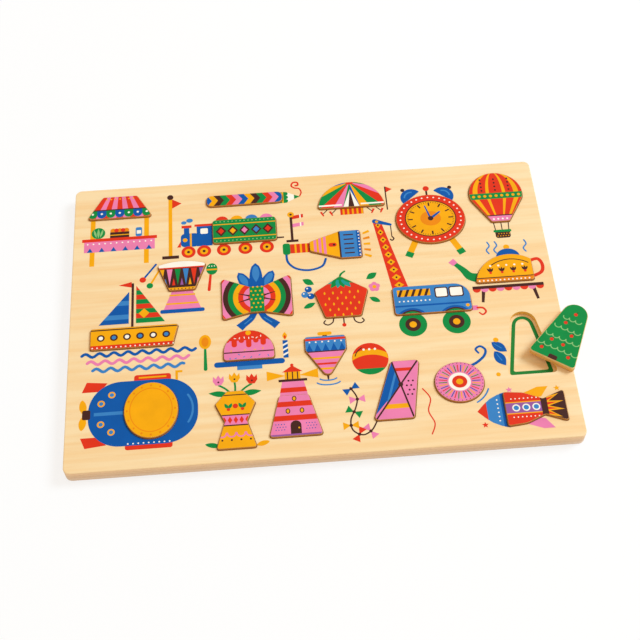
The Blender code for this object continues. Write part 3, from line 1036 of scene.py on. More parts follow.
def find_places() -> dict[str, Place]:
    """Match every window of the board to the loose piece that fits it.

    Returns:
        The place of each motif by its body's name. The one piece that isn't in its window goes
        with the one window that is left.
    """
    slots = {part["node"]: part["material_slot"] for part in frame["record"]["subparts"]}
    windows = {middle(loop): loop for loop in sorted(top_loops("frame_board"), key=area)[:-1]}
    faces = {node: top_loops(node)[0] for node in frame["nodes"] if node.endswith("_piece")}
    matched, loose = {}, []
    for node, face in faces.items():
        nearest = min(windows, key=lambda centre: math.dist(centre, middle(face)))
        if math.dist(nearest, middle(face)) < SEATED_WITHIN:
            matched[node] = nearest
        else:
            loose.append(node)
    left = [centre for centre in windows if centre not in matched.values()]
    places = {}
    for node, centre in {**matched, **dict(zip(loose, left))}.items():
        window, face, name = windows[centre], faces[node], node.removesuffix("_piece")
        turn = foot_heading(face) - foot_heading(window) if node in loose else 0.0
        upright = turned(face, -turn)
        shift = middle(upright)
        places[name] = Place(
            body=name, slot=slots[node], window=moved(window, centre),
            face=moved(upright, shift), window_at=centre, piece_at=turned([shift], turn)[0],
            turn=turn, others=[moved(loop, centre) for spot, loop in windows.items()
                               if spot != centre])
    return places


@dataclass
class Motif(Drawing):
    """One picture: part of it on the board, part of it on the loose piece.

    The main sizes that the window doesn't give are fields. They and the marks are in mm from the
    window's centre, a Box is left, low, right and high, and wide and deep are half the window's.
    """

    place: Place
    guide: Ink = GREEN
    # Ink under the piece's picture, the guide's where none is given
    ground: Ink | None = None
    # Bare wood round the loose piece's print, inside its rounded rim
    bare_edge: ClassVar[float] = 0.05
    guide_inset: ClassVar[float] = 2.2
    guide_width: ClassVar[float] = 3.3
    # Points each way over which the guide's outer corners are rounded
    guide_easing: ClassVar[int] = 4

    def __post_init__(self) -> None:
        """Take half the window's width and depth."""
        self.wide, self.deep = (max(values) for values in zip(*self.place.window))

    def across(self, low: float, high: float) -> Outline:
        """Band over the whole width of the window."""
        return box(-self.wide, low, self.wide, high)

    def upright(self, left: float, right: float) -> Outline:
        """Band over the whole depth of the window."""
        return box(left, -self.deep, right, self.deep)

    def on_board(self) -> None:
        """Draw what the board shows."""
        raise NotImplementedError

    def on_piece(self) -> None:
        """Draw what the loose piece shows over its ground."""
        raise NotImplementedError

    def in_recess(self) -> None:
        """Draw the guide band on the recess floor, which shows where the piece belongs."""
        outer = inset(self.place.window, self.guide_inset)
        inner = inset(self.place.window, self.guide_inset + self.guide_width)
        self.lay(self.guide, eased(outer, self.guide_easing), None, eased(inner))

    def build(self, board_top: float, floor: float, piece_top: float) -> None:
        """Print the three sheets of the picture.

        Args:
            board_top: Height of the board's printed face in mm.
            floor: Height of the recess floor in mm.
            piece_top: Height of the piece's printed face in mm.
        """
        place = self.place
        self.on_board()
        InkSheet(f"{place.body}_print", "board", "birch_sheet", board_top,
                 place.window_at).print(self, None, [place.window, *place.others])
        self.lay(self.ground or self.guide, place.face)
        self.on_piece()
        InkSheet(f"{place.body}_ink", place.body, place.slot, piece_top, place.piece_at,
                 place.turn).print(self, inset(place.face, self.bare_edge), [])
        self.in_recess()
        InkSheet(f"{place.body}_guide", "board", "birch_base", floor,
                 place.window_at).print(self, None, [])


@dataclass
class MarketStall(Motif):
    """Awning over a market stall with fruit and a pennant."""

    guide: Ink = RED
    counter: Box = (-33, -50, 33, -37)
    crate: Box = (-9, -34.5, 9, -28)
    melon: Point = (-20, -28.3)
    pole: Box = (46, -60, 49.5, 8)
    stripes: int = 9
    scallops: int = 7

    def on_board(self) -> None:
        """Draw posts, counter, goods and pennant."""
        x, y = self.melon
        self.lay(
            YELLOW, both(box(23, -66, 27.5, -8)), box(*self.pole), PINK, box(*self.counter),
            BLUE, [triangle(spot, -50, 2.75, 5) for spot in row(6, 11)],
            DotGrid(CREAM, 0, -40.6, 12, 5.4, 0.8), RED, box(-35, -38, 35, -34.5),
            GREEN, oval(x, y, 6.4), LIME, leaf(x, y - 5.6, 11.2, 2.4, 90),
            leaf(x - 1.6, y - 5.2, 10.4, 2, 106), leaf(x + 1.6, y - 5.2, 10.4, 2, 74),
            ORANGE, [oval(spot, -26.4, 2.7) for spot in row(3, 6.2)],
            RED, [oval(spot, -26, 2.2) for spot in row(2, 6.2)],
            BROWN, box(*self.crate), YELLOW, box(-9, -31.9, 9, -30.9),
            SKY, rounded(15, -34.5, 21, -24, 1.6), CREAM, box(16, -31.5, 20, -27.5),
            BROWN, box(40, -63.5, 55.5, -60), oval(47.75, 9, 3),
            RED, [(49.5, 6.5), (49.5, -4.5), (58.5, 1)])

    def on_piece(self) -> None:
        """Draw the awning's stripes and its scalloped hem."""
        half, pitch = self.wide / self.stripes, 2 * self.wide / self.scallops
        self.lay(
            PINK, [[(x - half, -self.deep), (x + half, -self.deep), ((x + half) / 2, self.deep),
                    ((x - half) / 2, self.deep)] for x in row(self.stripes // 2, 4 * half)],
            BROWN, self.across(-3.4, -2.2))
        self.take_turns((GREEN, BLUE), [
            [box(x - pitch / 2, -8, x + pitch / 2, -3.4), oval(x, -8, pitch / 2, 4.2)]
            for x in row(self.scallops, pitch)])
        self.lay(DotGrid(CREAM, 0, -7, self.scallops, pitch, 1.1),
                 DotGrid(YELLOW, 0, 9.8, 7, 4.2, 0.8))


@dataclass
class Pencil(Motif):
    """Pencil with arrow-shaped bands, a sharpened tip and the curl it has just drawn."""

    guide: Ink = PINK
    bands: Inks = (BLUE, YELLOW, BROWN, GREEN, RED, PINK)
    band_width: float = 5.8
    band_slant: float = 5.0
    curl: Path = ((53, 0.6), (54.6, 5), (52.8, 9.6), (48.4, 10.8), (45.6, 13.6), (47.4, 17.4),
                  (51.4, 17.2), (51.8, 14), (49.6, 13.6))

    def on_board(self) -> None:
        """Draw the collar, the sharpened cone, the lead and the curl."""
        self.lay(
            GREEN, box(31, -6.6, 39.5, 6.6), CREAM, [(39.5, -6.6), (52.5, 0), (39.5, 6.6)],
            GREEN, [oval(39.5, y, 2.2) for y in row(3, 4.356)],
            [(47.5, -2.54), (53.1, 0), (47.5, 2.54)], YELLOW, box(35.9, -6.6, 37.3, 6.6),
            RED, curve(self.curl, 1.3, 1.9))

    def on_piece(self) -> None:
        """Draw the bands, each an arrow that points to the tip."""
        step, slant = self.band_width, self.band_slant
        count = math.ceil((2 * self.wide + slant) / step)
        self.take_turns(self.bands, [
            both([(x, -self.deep), (x + step, -self.deep), (x + step + slant, 0), (x + slant, 0)],
                 1) for x in (step * index - self.wide - slant for index in range(count))])


@dataclass
class GoodsTrain(Motif):
    """Goods wagon behind a small engine, passing a signal."""

    guide: Ink = GREEN
    wheels: Path = ((-53, -20), (-38.5, -20), (-20, -20), (0, -20), (20, -20))
    wheel_radius: float = 6.6
    loads: Inks = (RED, YELLOW, SKY, PINK)

    def on_board(self) -> None:
        """Draw the engine, the signal, the wheels and the loads."""
        self.lay(
            BROWN, box(-30.5, -11, 36.5, -9.4), box(43, -15, 45.4, 15),
            box(38.6, -16.6, 49.8, -14), BLUE, box(-45, -14, -30.5, 10),
            rounded(-60, -14, -43, 1.5, 4), box(-57, 1, -52, 9),
            RED, box(-47, 9, -28.6, 11.6), box(-59.2, 8, -49.8, 11),
            YELLOW, box(-51.5, -14, -49.8, 1.5), oval(-56, -6, 2.2),
            CREAM, rounded(-41.5, 0, -34.5, 6.4, 1.2),
            SKY, oval(-57, 14.4, 2.6, 2), oval(-51.6, 16.6, 3.2, 2.4),
            RED, [(-60, -14), (-60, -7), (-63.5, -14)])
        for top, ink in ((15, RED), (5.5, PINK)):
            self.lay(ink, [(45.4, top - 5), (55.9, top - 3.4), (55.9, top + 0.6), (45.4, top - 1)],
                     CREAM, strip([(53, top - 4.2), (53, top + 0.4)], 1.3))
        self.discs([(44.2, 15.6)], (YELLOW, 3.2), (BROWN, 1.2))
        size = self.wheel_radius
        self.discs(self.wheels, (RED, size), (YELLOW, size * 0.56), (BROWN, size * 0.22))
        self.take_turns(self.loads, [oval(x, 13.6, 6, 5.4) for x in row(4, 14)])

    def on_piece(self) -> None:
        """Draw the wagon's frame, rivets and painted panels."""
        self.lay(YELLOW, self.across(7.4, 8.4), self.across(-8.4, -7.4),
                 BROWN, [diamond(x, 0, 5.2, 6.2) for x in row(5, 11)],
                 *[DotGrid(LIME, 0, y, 15, 3.75, 0.65) for y in row(2, 2 * self.deep - 6)])
        self.take_turns((RED, YELLOW, PINK, SKY), [diamond(x, 0, 3, 3.6) for x in row(5, 11)])


@dataclass
class BigTent(Motif):
    """Round show tent with coloured panels, pegs and a small flag."""

    guide: Ink = GREEN
    panels: Inks = (BLUE, YELLOW, GREEN, RED, PINK, GREEN)
    pegs: Point = (17.5, 26)
    mat: Box = (-11, -22.6, 11, -15)

    def on_board(self) -> None:
        """Draw pegs, mat and flag."""
        self.lay(
            BROWN, [both(strip([(x - 3.4, -15), (x + 1.7, -20.4)], 0.9)) for x in self.pegs],
            RED, [both(strip([(x + 3.4, -17.6), (x + 1, -22.8)], 2.2, 1.2)) for x in self.pegs],
            box(*self.mat), YELLOW, [box(x, -22.6, x + 1.8, -15) for x in row(5, 4.4)],
            BROWN, box(33.3, -20, 34.5, 8), RED, [(34.5, 8), (34.5, 1), (40.5, 4.5)])

    def on_piece(self) -> None:
        """Draw the panels that meet at the top, the door and the trim."""
        top, foot = self.deep - 1, -self.deep
        rim = [polar(0, top, 70, 180 + 15 * index) for index in range(13)]
        self.take_turns(self.panels, [[(0, top), *ends] for ends in zip(rim, rim[1:])])
        self.lay(
            BROWN, triangle(0, foot, 8, 6 - foot), CREAM, both([(-8, foot), (-3, foot), (0, 6)]),
            both(box(-self.wide, foot + 2.6, -9, foot + 4.4)), RED, oval(0, top, 4, 3))


@dataclass
class AlarmClock(Motif):
    """Alarm clock with two bells, a bare dial of strokes and two short feet."""

    guide: Ink = RED
    bell: Point = (15, 27.5)
    dial_share: float = 0.7
    hour_hand: Point = (9, 7)
    minute_hand: Point = (-4, 15)

    def on_board(self) -> None:
        """Draw the bells, their hammer and the feet."""
        self.lay(
            YELLOW, both(strip([(17, -24), (25, -40.5)], 6)),
            GREEN, both(strip([(22.6, -36), (25.2, -41.2)], 7)), BROWN, both(oval(22.6, 37.1, 2)),
            BLUE, both(sector(*self.bell, 10.5, -40, 140)),
            SKY, both(strip(arc(*self.bell, 6.6, 0, 100), 1.5)),
            BROWN, box(-0.9, 28, 0.9, 36.5), RED, oval(0, 37.4, 3))

    def on_piece(self) -> None:
        """Draw the dial, its strokes and the hands."""
        squeeze, dial = self.deep / self.wide, self.wide * self.dial_share
        self.discs([(0, 0)], (BROWN, dial + 1, dial * squeeze + 1),
                   (YELLOW, dial, dial * squeeze), (ORANGE, dial * 0.42, dial * 0.42 * squeeze))
        self.lay(
            BLUE, stroke([(0, 0), self.hour_hand], 3, 1.8),
            stroke([(0, 0), self.minute_hand], 2, 1.2), BROWN, oval(0, 0, 2.6),
            MarkRing(CREAM, 0, 0, 32, self.wide * 0.86, 1.7, squeeze=squeeze, dots=True),
            MarkRing(BROWN, 0, 0, 12, dial * 0.82, 1.5, 4.4, squeeze),
            MarkRing(BROWN, 0, 0, 60, dial * 0.93, 0.5, 1.6, squeeze))


@dataclass
class AirBalloon(Motif):
    """Gored hot-air balloon with its ropes and basket."""

    guide: Ink = RED
    gores: tuple[float, ...] = (0.84, 0.66, 0.36, 0.24)
    basket: Box = (-7, -47.2, 7, -38.5)

    def gore(self, share: float) -> Outline:
        """Upright slice of the balloon, narrower than the whole by a share of its width."""
        foot = -self.deep - 1
        crown = arc(0, self.deep - self.wide, self.wide, -12, 192) + [(-8, foot), (8, foot)]
        return [(x * share, y) for x, y in crown]

    def on_board(self) -> None:
        """Draw the ropes and the basket."""
        self.lay(
            BROWN, both(strip([(7, 1 - self.deep), (6.2, -38.5)], 0.9)),
            strip([(0, -self.deep), (0, -38.5)], 0.9), rounded(*self.basket, 2.4),
            GREEN, rounded(-8.4, -40.5, 8.4, -37.7, 1.2),
            DotGrid(YELLOW, 0, -43.65, 5, 2.5, 0.55, 2, 2.6, 1.2))

    def on_piece(self) -> None:
        """Draw the gores, the dots and the skirt."""
        foot, centre = -self.deep, self.deep - self.wide
        self.take_turns((YELLOW, RED), [self.gore(share) for share in self.gores])
        self.lay(
            BROWN, self.across(foot + 7, foot + 8.2), PINK, self.across(foot - 1, foot + 7),
            GREEN, self.across(centre - 6, centre + 1),
            DotGrid(YELLOW, 0, centre - 2.5, 9, 5.4, 1.5),
            DotGrid(BROWN, 0, centre + 11, 3, 13, 1, 4, 4.4),
            DotGrid(CREAM, 0, foot + 3.4, 4, 4.2, 1))


@dataclass
class Torch(Motif):
    """Hand torch with a strap and its rays of light."""

    guide: Ink = YELLOW
    handle: Box = (-43, -5.2, -22, 5.2)
    head_at: float = 5.0
    strap: Path = ((-46, -6), (-45, -15), (-38, -22.6), (-26, -25.4), (-14, -22), (-10, -14))

    def on_board(self) -> None:
        """Draw the strap, the handle, the cap and the rays."""
        self.lay(
            BLUE, curve(self.strap, 2.2), RED, box(*self.handle),
            YELLOW, [box(x, -5.2, x + 1.8, 5.2) for x in (-38, -33, -28, -23)],
            GREEN, rounded(-49, -6.4, -42, 6.4, 2.4))
        self.take_turns((YELLOW, ORANGE), [strip([(26.5, y), (32.6, y * 1.22)], 2, 2.8)
                                           for y in row(5, 6)])

    def on_piece(self) -> None:
        """Draw the grip, the switch and the ribbed head."""
        head, end = self.head_at, self.wide
        self.lay(
            PINK, [self.upright(x, x + 2.4) for x in (-20, -15.5, -11)],
            RED, rounded(-6.4, -2.2, 1.2, 2.2, 2.1), BROWN, oval(-1.2, 0, 1.2),
            self.upright(head - 1.6, head), SKY, self.upright(head, end),
            BLUE, self.upright(end - 4.2, end),
            BROWN, [rounded(head + 3, y - 0.7, end - 7, y + 0.7, 0.7) for y in row(5, 5.2)],
            DotGrid(CREAM, end - 2.2, 0, 1, 1, 0.7, 8, 3.7))


@dataclass
class Drum(Motif):
    """Drum on a flared stand, with a pair of sticks and a maraca."""

    guide: Ink = BROWN
    stand: Path = ((-9, -15), (-17, -36), (17, -36), (9, -15))
    maraca: Point = (27.5, 6)
    skin_depth: float = 7.4
    inks: Inks = (YELLOW, PINK, GREEN, SKY, RED, MAUVE)

    def on_board(self) -> None:
        """Draw the stand, the sticks and the maraca."""
        self.lay(
            PINK, self.stand, YELLOW, box(-11.6, -21.3, 11.6, -19.5),
            box(-14.6, -30.5, 14.6, -28.7), BLUE, rounded(-20, -39.5, 20, -35.5, 1.6),
            strip([(-36, -1), (-23.5, 16)], 1.9), RED, oval(-36, -1, 3),
            YELLOW, strip([(-29.5, -8), (-18, 14)], 1.9), GREEN, oval(-29.5, -8, 3),
            RED, stroke([(26.9, 6), (24.5, -17)], 2, 2.8), GREEN, oval(*self.maraca, 5.2, 6.4),
            YELLOW, box(22.5, 4.6, 32.5, 6.2), DotGrid(CREAM, 27.5, 9.2, 3, 2.4, 0.6))

    def on_piece(self) -> None:
        """Draw the shell with its zigzag of coloured figures, and the pale skin."""
        top, foot, pitch = self.deep - self.skin_depth, 5 - self.deep, self.wide / 3
        self.take_turns(self.inks, [
            triangle(x, top - 2, pitch * 0.36, foot + 3 - top) for x in row(6, pitch)])
        self.take_turns(self.inks[3:] + self.inks[:3], [
            triangle(x + pitch / 2, foot + 1, pitch * 0.2, 8) for x in row(6, pitch)])
        self.lay(
            RED, self.across(top - 1.4, top), CREAM, self.across(top, self.deep + 1),
            YELLOW, self.across(foot - 6, foot - 1.6), DotGrid(BROWN, 0, foot - 3.2, 7, 3.3, 0.6))


@dataclass
class Sailboat(Motif):
    """Sailing boat with a striped sail, on three rows of waves."""

    guide: Ink = YELLOW
    sail_foot: float = 15.5
    waves: tuple[tuple[float, Ink], ...] = ((-15.4, BLUE), (-23.2, PINK), (-31, SKY))
    wave_length: float = 12.5

    def sail(self, start: float, reach: float, head: float, count: int) -> list[Outline]:
        """Bands of a three-cornered sail.

        Args:
            start: Where its upright edge stands.
            reach: How far its foot goes, to the left where it is negative.
            head: Height of its top.
            count: Number of bands.

        Returns:
            The bands, from the foot up.
        """
        foot = self.sail_foot
        levels = [(foot + (head - foot) * index / count, start + reach * (1 - index / count))
                  for index in range(count + 1)]
        return [[(start, low), (end, low), (high_end, high), (start, high)]
                for (low, end), (high, high_end) in zip(levels, levels[1:])]

    def on_board(self) -> None:
        """Draw the mast, both sails, the pennant and the waves."""
        self.lay(BROWN, box(-3.1, 8, -0.9, 59))
        self.take_turns((GREEN, RED), self.sail(1.2, 26, 56, 8))
        self.take_turns((BLUE, SKY, BLUE), self.sail(-5.2, -27, 50, 7))
        self.lay(YELLOW, diamond(8.4, 25.6, 4.8, 5.2),
                 RED, [(-3.1, 60.6), (-3.1, 54.4), (-15, 57.5)])
        step = self.wave_length / 8
        for index, (level, ink) in enumerate(self.waves):
            self.lay(ink, stroke([
                (5 * index - 46 + step * spot, level + 1.8 * math.sin(math.tau * spot / 8))
                for spot in range(int((100 - 10 * index) / step) + 1)], 2.8))

    def on_piece(self) -> None:
        """Draw the hull's rail, portholes and waterline."""
        ports = [(10 - self.wide + 11.6 * index, 0.6) for index in range(6)]
        self.lay(BROWN, self.across(self.deep - 3.2, self.deep - 2),
                 RED, self.across(-self.deep - 1, 4.6 - self.deep),
                 DotGrid(CREAM, -1, 2.2 - self.deep, 18, 4.2, 0.7))
        self.discs(ports, (BROWN, 3.5))
        self.take_turns((CREAM, SKY), [oval(*port, 2) for port in ports])


@dataclass
class RibbonBow(Motif):
    """Gift bow of striped ribbon, with three standing loops and two tails."""

    guide: Ink = PINK
    ground: Ink = RED
    tail: Path = ((2, -13), (6, -21), (13, -27), (17, -30.6))
    # Each standing loop by its heading, length and width
    loops: tuple[tuple[float, ...], ...] = ((62, 31, 11), (118, 31, 11), (90, 37, 12))
    arcs: Inks = (PINK, RED, YELLOW, GREEN, BROWN, PINK, RED)
    arc_width: float = 4.6
    knot_half: float = 6.4

    def on_board(self) -> None:
        """Draw the tails and the standing loops."""
        self.lay(BLUE, both(strip(smooth(self.tail), 5, 8)),
                 SKY, both(strip(smooth([(5.4, -21), (12.4, -27)]), 1)))
        for heading, length, width in self.loops:
            foot = (3 * math.cos(math.radians(heading)), 2)
            inner = polar(*foot, 0.42 * length, heading)
            self.lay(BLUE, leaf(*foot, length, width, heading, 0.45),
                     SKY, leaf(*inner, length * 0.5, width * 0.56, heading, 0.45))

    def on_piece(self) -> None:
        """Draw the two loops with stripes across the ribbon, and the knot."""
        knot, step = self.knot_half, self.arc_width
        self.take_turns(self.arcs, [
            both(sector(0, 0, radius + step, -62, 62, radius))
            for radius in (knot + 1.4 + step * index for index in range(len(self.arcs)))])
        self.lay(
            BROWN, both(both(strip([(knot, 1.6), (17, 4.8)], 1.8, 0.5), 1)),
            GREEN, rounded(-knot, -self.deep, knot, self.deep, 2),
            DotGrid(YELLOW, -0.9, 0, 3, 4, 0.9, 6, 4.4, 1.8))


@dataclass
class Strawberry(Motif):
    """Strawberry with blue berries, leaves and tendrils."""

    guide: Ink = RED
    cap: Point = (0, 21)
    # Heading and length of each leaf of the cap
    cap_leaves: Path = ((205, 17), (232, 15), (256, 12.5), (284, 12.5), (308, 15), (335, 17))
    # Height and number of the seeds in each row
    seeds: Path = ((4, 5), (-2, 4), (-8, 5), (-14, 4), (-20, 3))
    berries: Path = ((-29.5, 11), (-33, 5.4), (-27.6, 3.4))
    flower: Point = (30.6, 9)

    def on_board(self) -> None:
        """Draw the stem, the leaves, the berries, the flower and the tendrils."""
        self.lay(GREEN, curve([(0, 20), (1, 25), (5, 28.4)], 2.2, 1.6),
                 leaf(-24, 16, 12, 6.4, 148), leaf(24, 18, 12, 6.4, 32),
                 leaf(25, -2, 11, 5, -30, 0.7), leaf(-24, -4, 12, 5, 205, 0.7))
        self.take_turns((BLUE, SKY), [oval(*spot, 3.3) for spot in self.berries])
        self.lay(
            CREAM, [oval(x - 1, y + 1.1, 0.8) for x, y in self.berries],
            PINK, [oval(*polar(*self.flower, 2.9, 72 * index + 17.2), 2.5) for index in range(5)],
            YELLOW, oval(*self.flower, 1.9), BROWN,
            both(curve([(9, -21), (10, -26), (14.4, -28.6), (18, -26.4), (16.6, -23.8)], 1.2)),
            stroke([(0, -21), (0, -29)], 1.2), RED, oval(0, -29.6, 1.9))

    def on_piece(self) -> None:
        """Draw the seeds and the leafy cap."""
        self.lay(YELLOW, [leaf(x, y + 1.7, 3.4, 1.7, 270, 0.6)
                          for y, count in self.seeds for x in row(count, 7.6)])
        self.take_turns((TEAL, GREEN), [leaf(*self.cap, length, 5.6, heading)
                                        for heading, length in self.cap_leaves])
        self.lay(GREEN, oval(*self.cap, 5.4, 3.4))


@dataclass
class CraneTruck(Motif):
    """Truck that carries a tall spotted mast, with a tow hook behind."""

    guide: Ink = SKY
    mast: Path = ((-34.4, 14), (-19.5, 14), (-37.4, 92), (-45, 92))
    holes: int = 9
    wheels: Path = ((-20, -25), (19, -25))
    wheel_radius: float = 12.5
    boom: Path = ((-43, 92.4), (-28.6, 87.4))

    def on_board(self) -> None:
        """Draw the mast, the wheels and the tow hook."""
        shares = [(index + 0.5) / self.holes for index in range(self.holes)]
        spots = [(-26.95 - 14.25 * share, 14 + 78 * share) for share in shares]
        size = self.wheel_radius
        self.lay(
            RED, self.mast, YELLOW, [diamond(*spot, 4.6 - 2.2 * share, 3.6)
                                     for spot, share in zip(spots, shares)],
            BROWN, [oval(*spot, 1) for spot in spots], box(-29.05, 73.4, -28.15, 87.4),
            strip(smooth([(-28.6, 73.4), (-27, 71), (-28.8, 69), (-30.6, 70.6)]), 1.3),
            BLUE, stroke(self.boom, 5, 2.6), YELLOW, oval(-41.2, 91.8, 1.5))
        self.discs(self.wheels, (GREEN, size), (BROWN, size * 0.56), (YELLOW, size * 0.26))
        self.lay(PINK, box(34, -14.5, 40, -9.5), RED, curve(
            [(39.5, -12), (44.4, -12.6), (46.6, -16.6), (43.4, -19.6), (40.6, -17.4)], 2, 1.4))

    def on_piece(self) -> None:
        """Draw the cab's windows, the arches and the striped panel."""
        self.lay(
            BROWN, rounded(15.8, 0.3, 29.2, 11.7, 2.2), rounded(2.8, 0.3, 15.2, 11.7, 2.2),
            CREAM, rounded(17, 1.5, 28, 10.5, 1.4), rounded(4, 1.5, 14, 10.5, 1.4),
            YELLOW, box(-31, 3.6, -1, 11),
            BROWN, [[(x, 3.6), (x + 2.6, 3.6), (x + 5.6, 11), (x + 3, 11)]
                    for x in (-31, -25, -19, -13, -7)], BLUE, self.across(-7.4, -5.6))
        size = self.wheel_radius
        self.discs(self.wheels, (BLUE, size + 3.6), (BROWN, size + 1.6), (GREEN, size))
        self.lay(YELLOW, oval(31, -9.6, 1.7), DotGrid(CREAM, -16, -1.4, 8, 3.9, 0.8))


@dataclass
class Teapot(Motif):
    """Steaming teapot on a small table."""

    guide: Ink = YELLOW
    spout: Path = ((-20, -9), (-31, -6), (-37, 2), (-45, 11))
    handle: Path = ((25, 7), (33, 8.6), (36.4, 2), (34.4, -6), (25, -10.6))
    table: Box = (-31, -20.6, 34, -17.4)
    scallops: int = 9

    def on_board(self) -> None:
        """Draw the spout, the handle, the lid, the steam and the table."""
        self.lay(
            GREEN, strip(smooth(self.spout), 11, 3.4), PINK,
            strip([(-43, 8.6), (-46.6, 13)], 5.6, 6.4), RED, strip(smooth(self.handle), 3.2),
            YELLOW, oval(6.6, 24.2, 2.8), BLUE, oval(6.6, 13, 11, 9.4),
            SKY, [curve([(x, 18), (x - 1.8, 22), (x + 1.4, 26.6), (x, 31)], 1.4)
                  for x in (-10.4, -3.4, 24.1)],
            BROWN, box(*self.table), strip([(-21, -20), (-23.6, -35)], 3.4, 2.4),
            strip([(24, -20), (26.6, -35)], 3.4, 2.4))
        left, low, right, _ = self.table
        pitch = (right - left) / self.scallops
        self.take_turns((RED, PINK), [
            sector((left + right) / 2 + x, low, pitch / 2, 180, 360)
            for x in row(self.scallops, pitch)])

    def on_piece(self) -> None:
        """Draw the pot's bands, petals and dots."""
        foot, spots = 4.6 - self.deep, [3.4 + x for x in row(4, 10.6)]
        self.lay(
            ORANGE, self.across(foot - 5.6, foot), BROWN, self.across(foot, foot + 1),
            [leaf(x, -4.6, 5.6, 2, heading) for x in spots for heading in (60, 90, 120)],
            RED, [oval(x, -5, 1.3) for x in spots],
            BROWN, strip(arc(6.6, -20.6, 29.6, 55, 128), 1),
            DotGrid(CREAM, -1, foot - 2.4, 13, 3.8, 0.8), DotGrid(CREAM, 3, 2.6, 5, 7.4, 1))


@dataclass
class FirTree(Motif):
    """Garden fir with red fruit and low bushes at its sides."""

    guide: Ink = PINE
    ground: Ink = GREEN
    # Height, half width and number of the boughs in each tier
    tiers: tuple[tuple[float, float, int], ...] = (
        (15, 8.5, 3), (4, 12, 4), (-7, 15.5, 5), (-18, 19, 6))
    # Foot, length and heading of each bush
    bushes: tuple[Box, ...] = ((-22, -22, 17, 118), (-19, -8, 16, 140), (21, -12, 17, 55))
    fruit: Path = ((-4, 9), (6, -1.6), (-8, -12.6), (3, -13.4), (12, -23.4), (-12.6, -24),
                   (0.6, 20.8))

    def on_board(self) -> None:
        """Draw the bushes beside the window."""
        for x, y, length, heading in self.bushes:
            vein = [polar(x, y, share * length, heading) for share in (0.35, 0.85)]
            self.lay(BLUE, leaf(x, y, length, length * 0.55, heading, 0.7),
                     SKY, strip(vein, 1, 0.5))
        self.lay(YELLOW, oval(-27, 4.5, 2.4), oval(-30, -30.4, 2))

    def on_piece(self) -> None:
        """Draw the tiers of branches, the fruit and the trunk."""
        self.lay(
            LIME, [stroke(arc(x, y, reach / count, 180, 360, 0.9), 0.9)
                   for y, reach, count in self.tiers for x in row(count, 2 * reach / count)],
            BROWN, [strip([(x, y + 1), (x + 1, y + 3.2)], 0.7) for x, y in self.fruit],
            RED, [oval(*spot, 1.7) for spot in self.fruit],
            BROWN, rounded(-4, -self.deep - 2, 4, 5.4 - self.deep, 1.4))


@dataclass
class Cake(Motif):
    """Iced cake on a plate, with a spoon and a candle."""

    guide: Ink = PINK
    plate: Box = (-31, -20.4, 31, -15)
    spoon: Point = (-38.5, 7)
    candle: Box = (30, -15, 34.5, 3)
    icing: float = 4.6
    drips: Path = ((-19, 3), (-12.6, -2), (-6.2, 2), (0.2, -3), (6.6, 1.4), (13, -1.4),
                   (19.4, 3.4))

    def on_board(self) -> None:
        """Draw the plate, the spoon and the candle."""
        self.lay(SKY, box(-11, -24.2, 11, -20), BLUE, rounded(*self.plate, 2.6),
                 GREEN, stroke([(-38.5, 5), (-38.5, -21)], 1.8, 3.2))
        self.discs([self.spoon], (YELLOW, 5.4, 7.4), (ORANGE, 3.2, 5))
        self.lay(
            BLUE, box(*self.candle),
            CREAM, [[(30, y), (34.5, y + 2.4), (34.5, y + 4.2), (30, y + 1.8)]
                    for y in (-13, -8, -3)],
            YELLOW, leaf(32.25, 3.6, 8, 4.2, 90), RED, leaf(32.25, 4.2, 4.4, 2, 90))

    def on_piece(self) -> None:
        """Draw the layers, the dripping icing and the sprinkles."""
        self.lay(
            BROWN, self.across(-8, -6.8), RED, self.across(self.icing, self.deep + 1),
            [rounded(x - 2.4, y, x + 2.4, self.icing + 4, 2.3) for x, y in self.drips],
            YELLOW, oval(0, self.deep - 3.4, 2.4),
            Sprinkles(CREAM, 0, 8, 25, 3, 3.4, 2, 0.7, 4),
            Sprinkles(SKY, 0, -11.4, 38, 4, 4.6, 2, 0.8, 9),
            Sprinkles(YELLOW, 0, -5, 36, 1.6, 6, 2, 0.8, 2))


@dataclass
class SpinningTop(Motif):
    """Spinning top beside a striped ball."""

    guide: Ink = SKY
    ball: Point = (38, -6)
    ball_radius: float = 16.0

    def on_board(self) -> None:
        """Draw the handle, the tip, the swirl and the ball."""
        x, y = self.ball
        size = self.ball_radius
        self.lay(
            BROWN, box(-2, 18, 2, 22.4), strip([(0, -18), (0, -24.4)], 2.6, 1),
            YELLOW, rounded(-6.4, 21.4, 6.4, 25, 1.7),
            SKY, stroke(arc(0, -22, 7.6, 200, 340, 0.35), 1.3),
            stroke(arc(0, -25.4, 10.6, 200, 340, 0.35), 1.3), RED, oval(x, y, size),
            YELLOW, arc(x, y - size * 1.5, size * 1.75, 124.8, 55.2)
            + arc(x, y - size * 1.15, size * 1.75, 57.6, 122.4),
            GREEN, arc(x, y, size, 218, 322), BROWN, stroke(arc(x, y, size - 2.6, 120, 165), 0.9),
            DotGrid(CREAM, x, y + 9.6, 3, 5, 1.1))

    def on_piece(self) -> None:
        """Draw the bands of the top."""
        shoulder = self.deep - 15.8
        self.lay(
            BROWN, self.across(shoulder - 1.2, shoulder),
            PINK, self.across(shoulder - 41.2, shoulder - 1.2),
            RED, self.across(self.deep - 5, self.deep - 2.6),
            BLUE, [triangle(x, shoulder, 3, 7.4) for x in row(5, 7.2)],
            YELLOW, self.across(-4.4, -2.4), RED, self.across(-10, -8),
            YELLOW, self.across(-15, -13), DotGrid(CREAM, 0, shoulder + 9.2, 6, 5.6, 0.8))


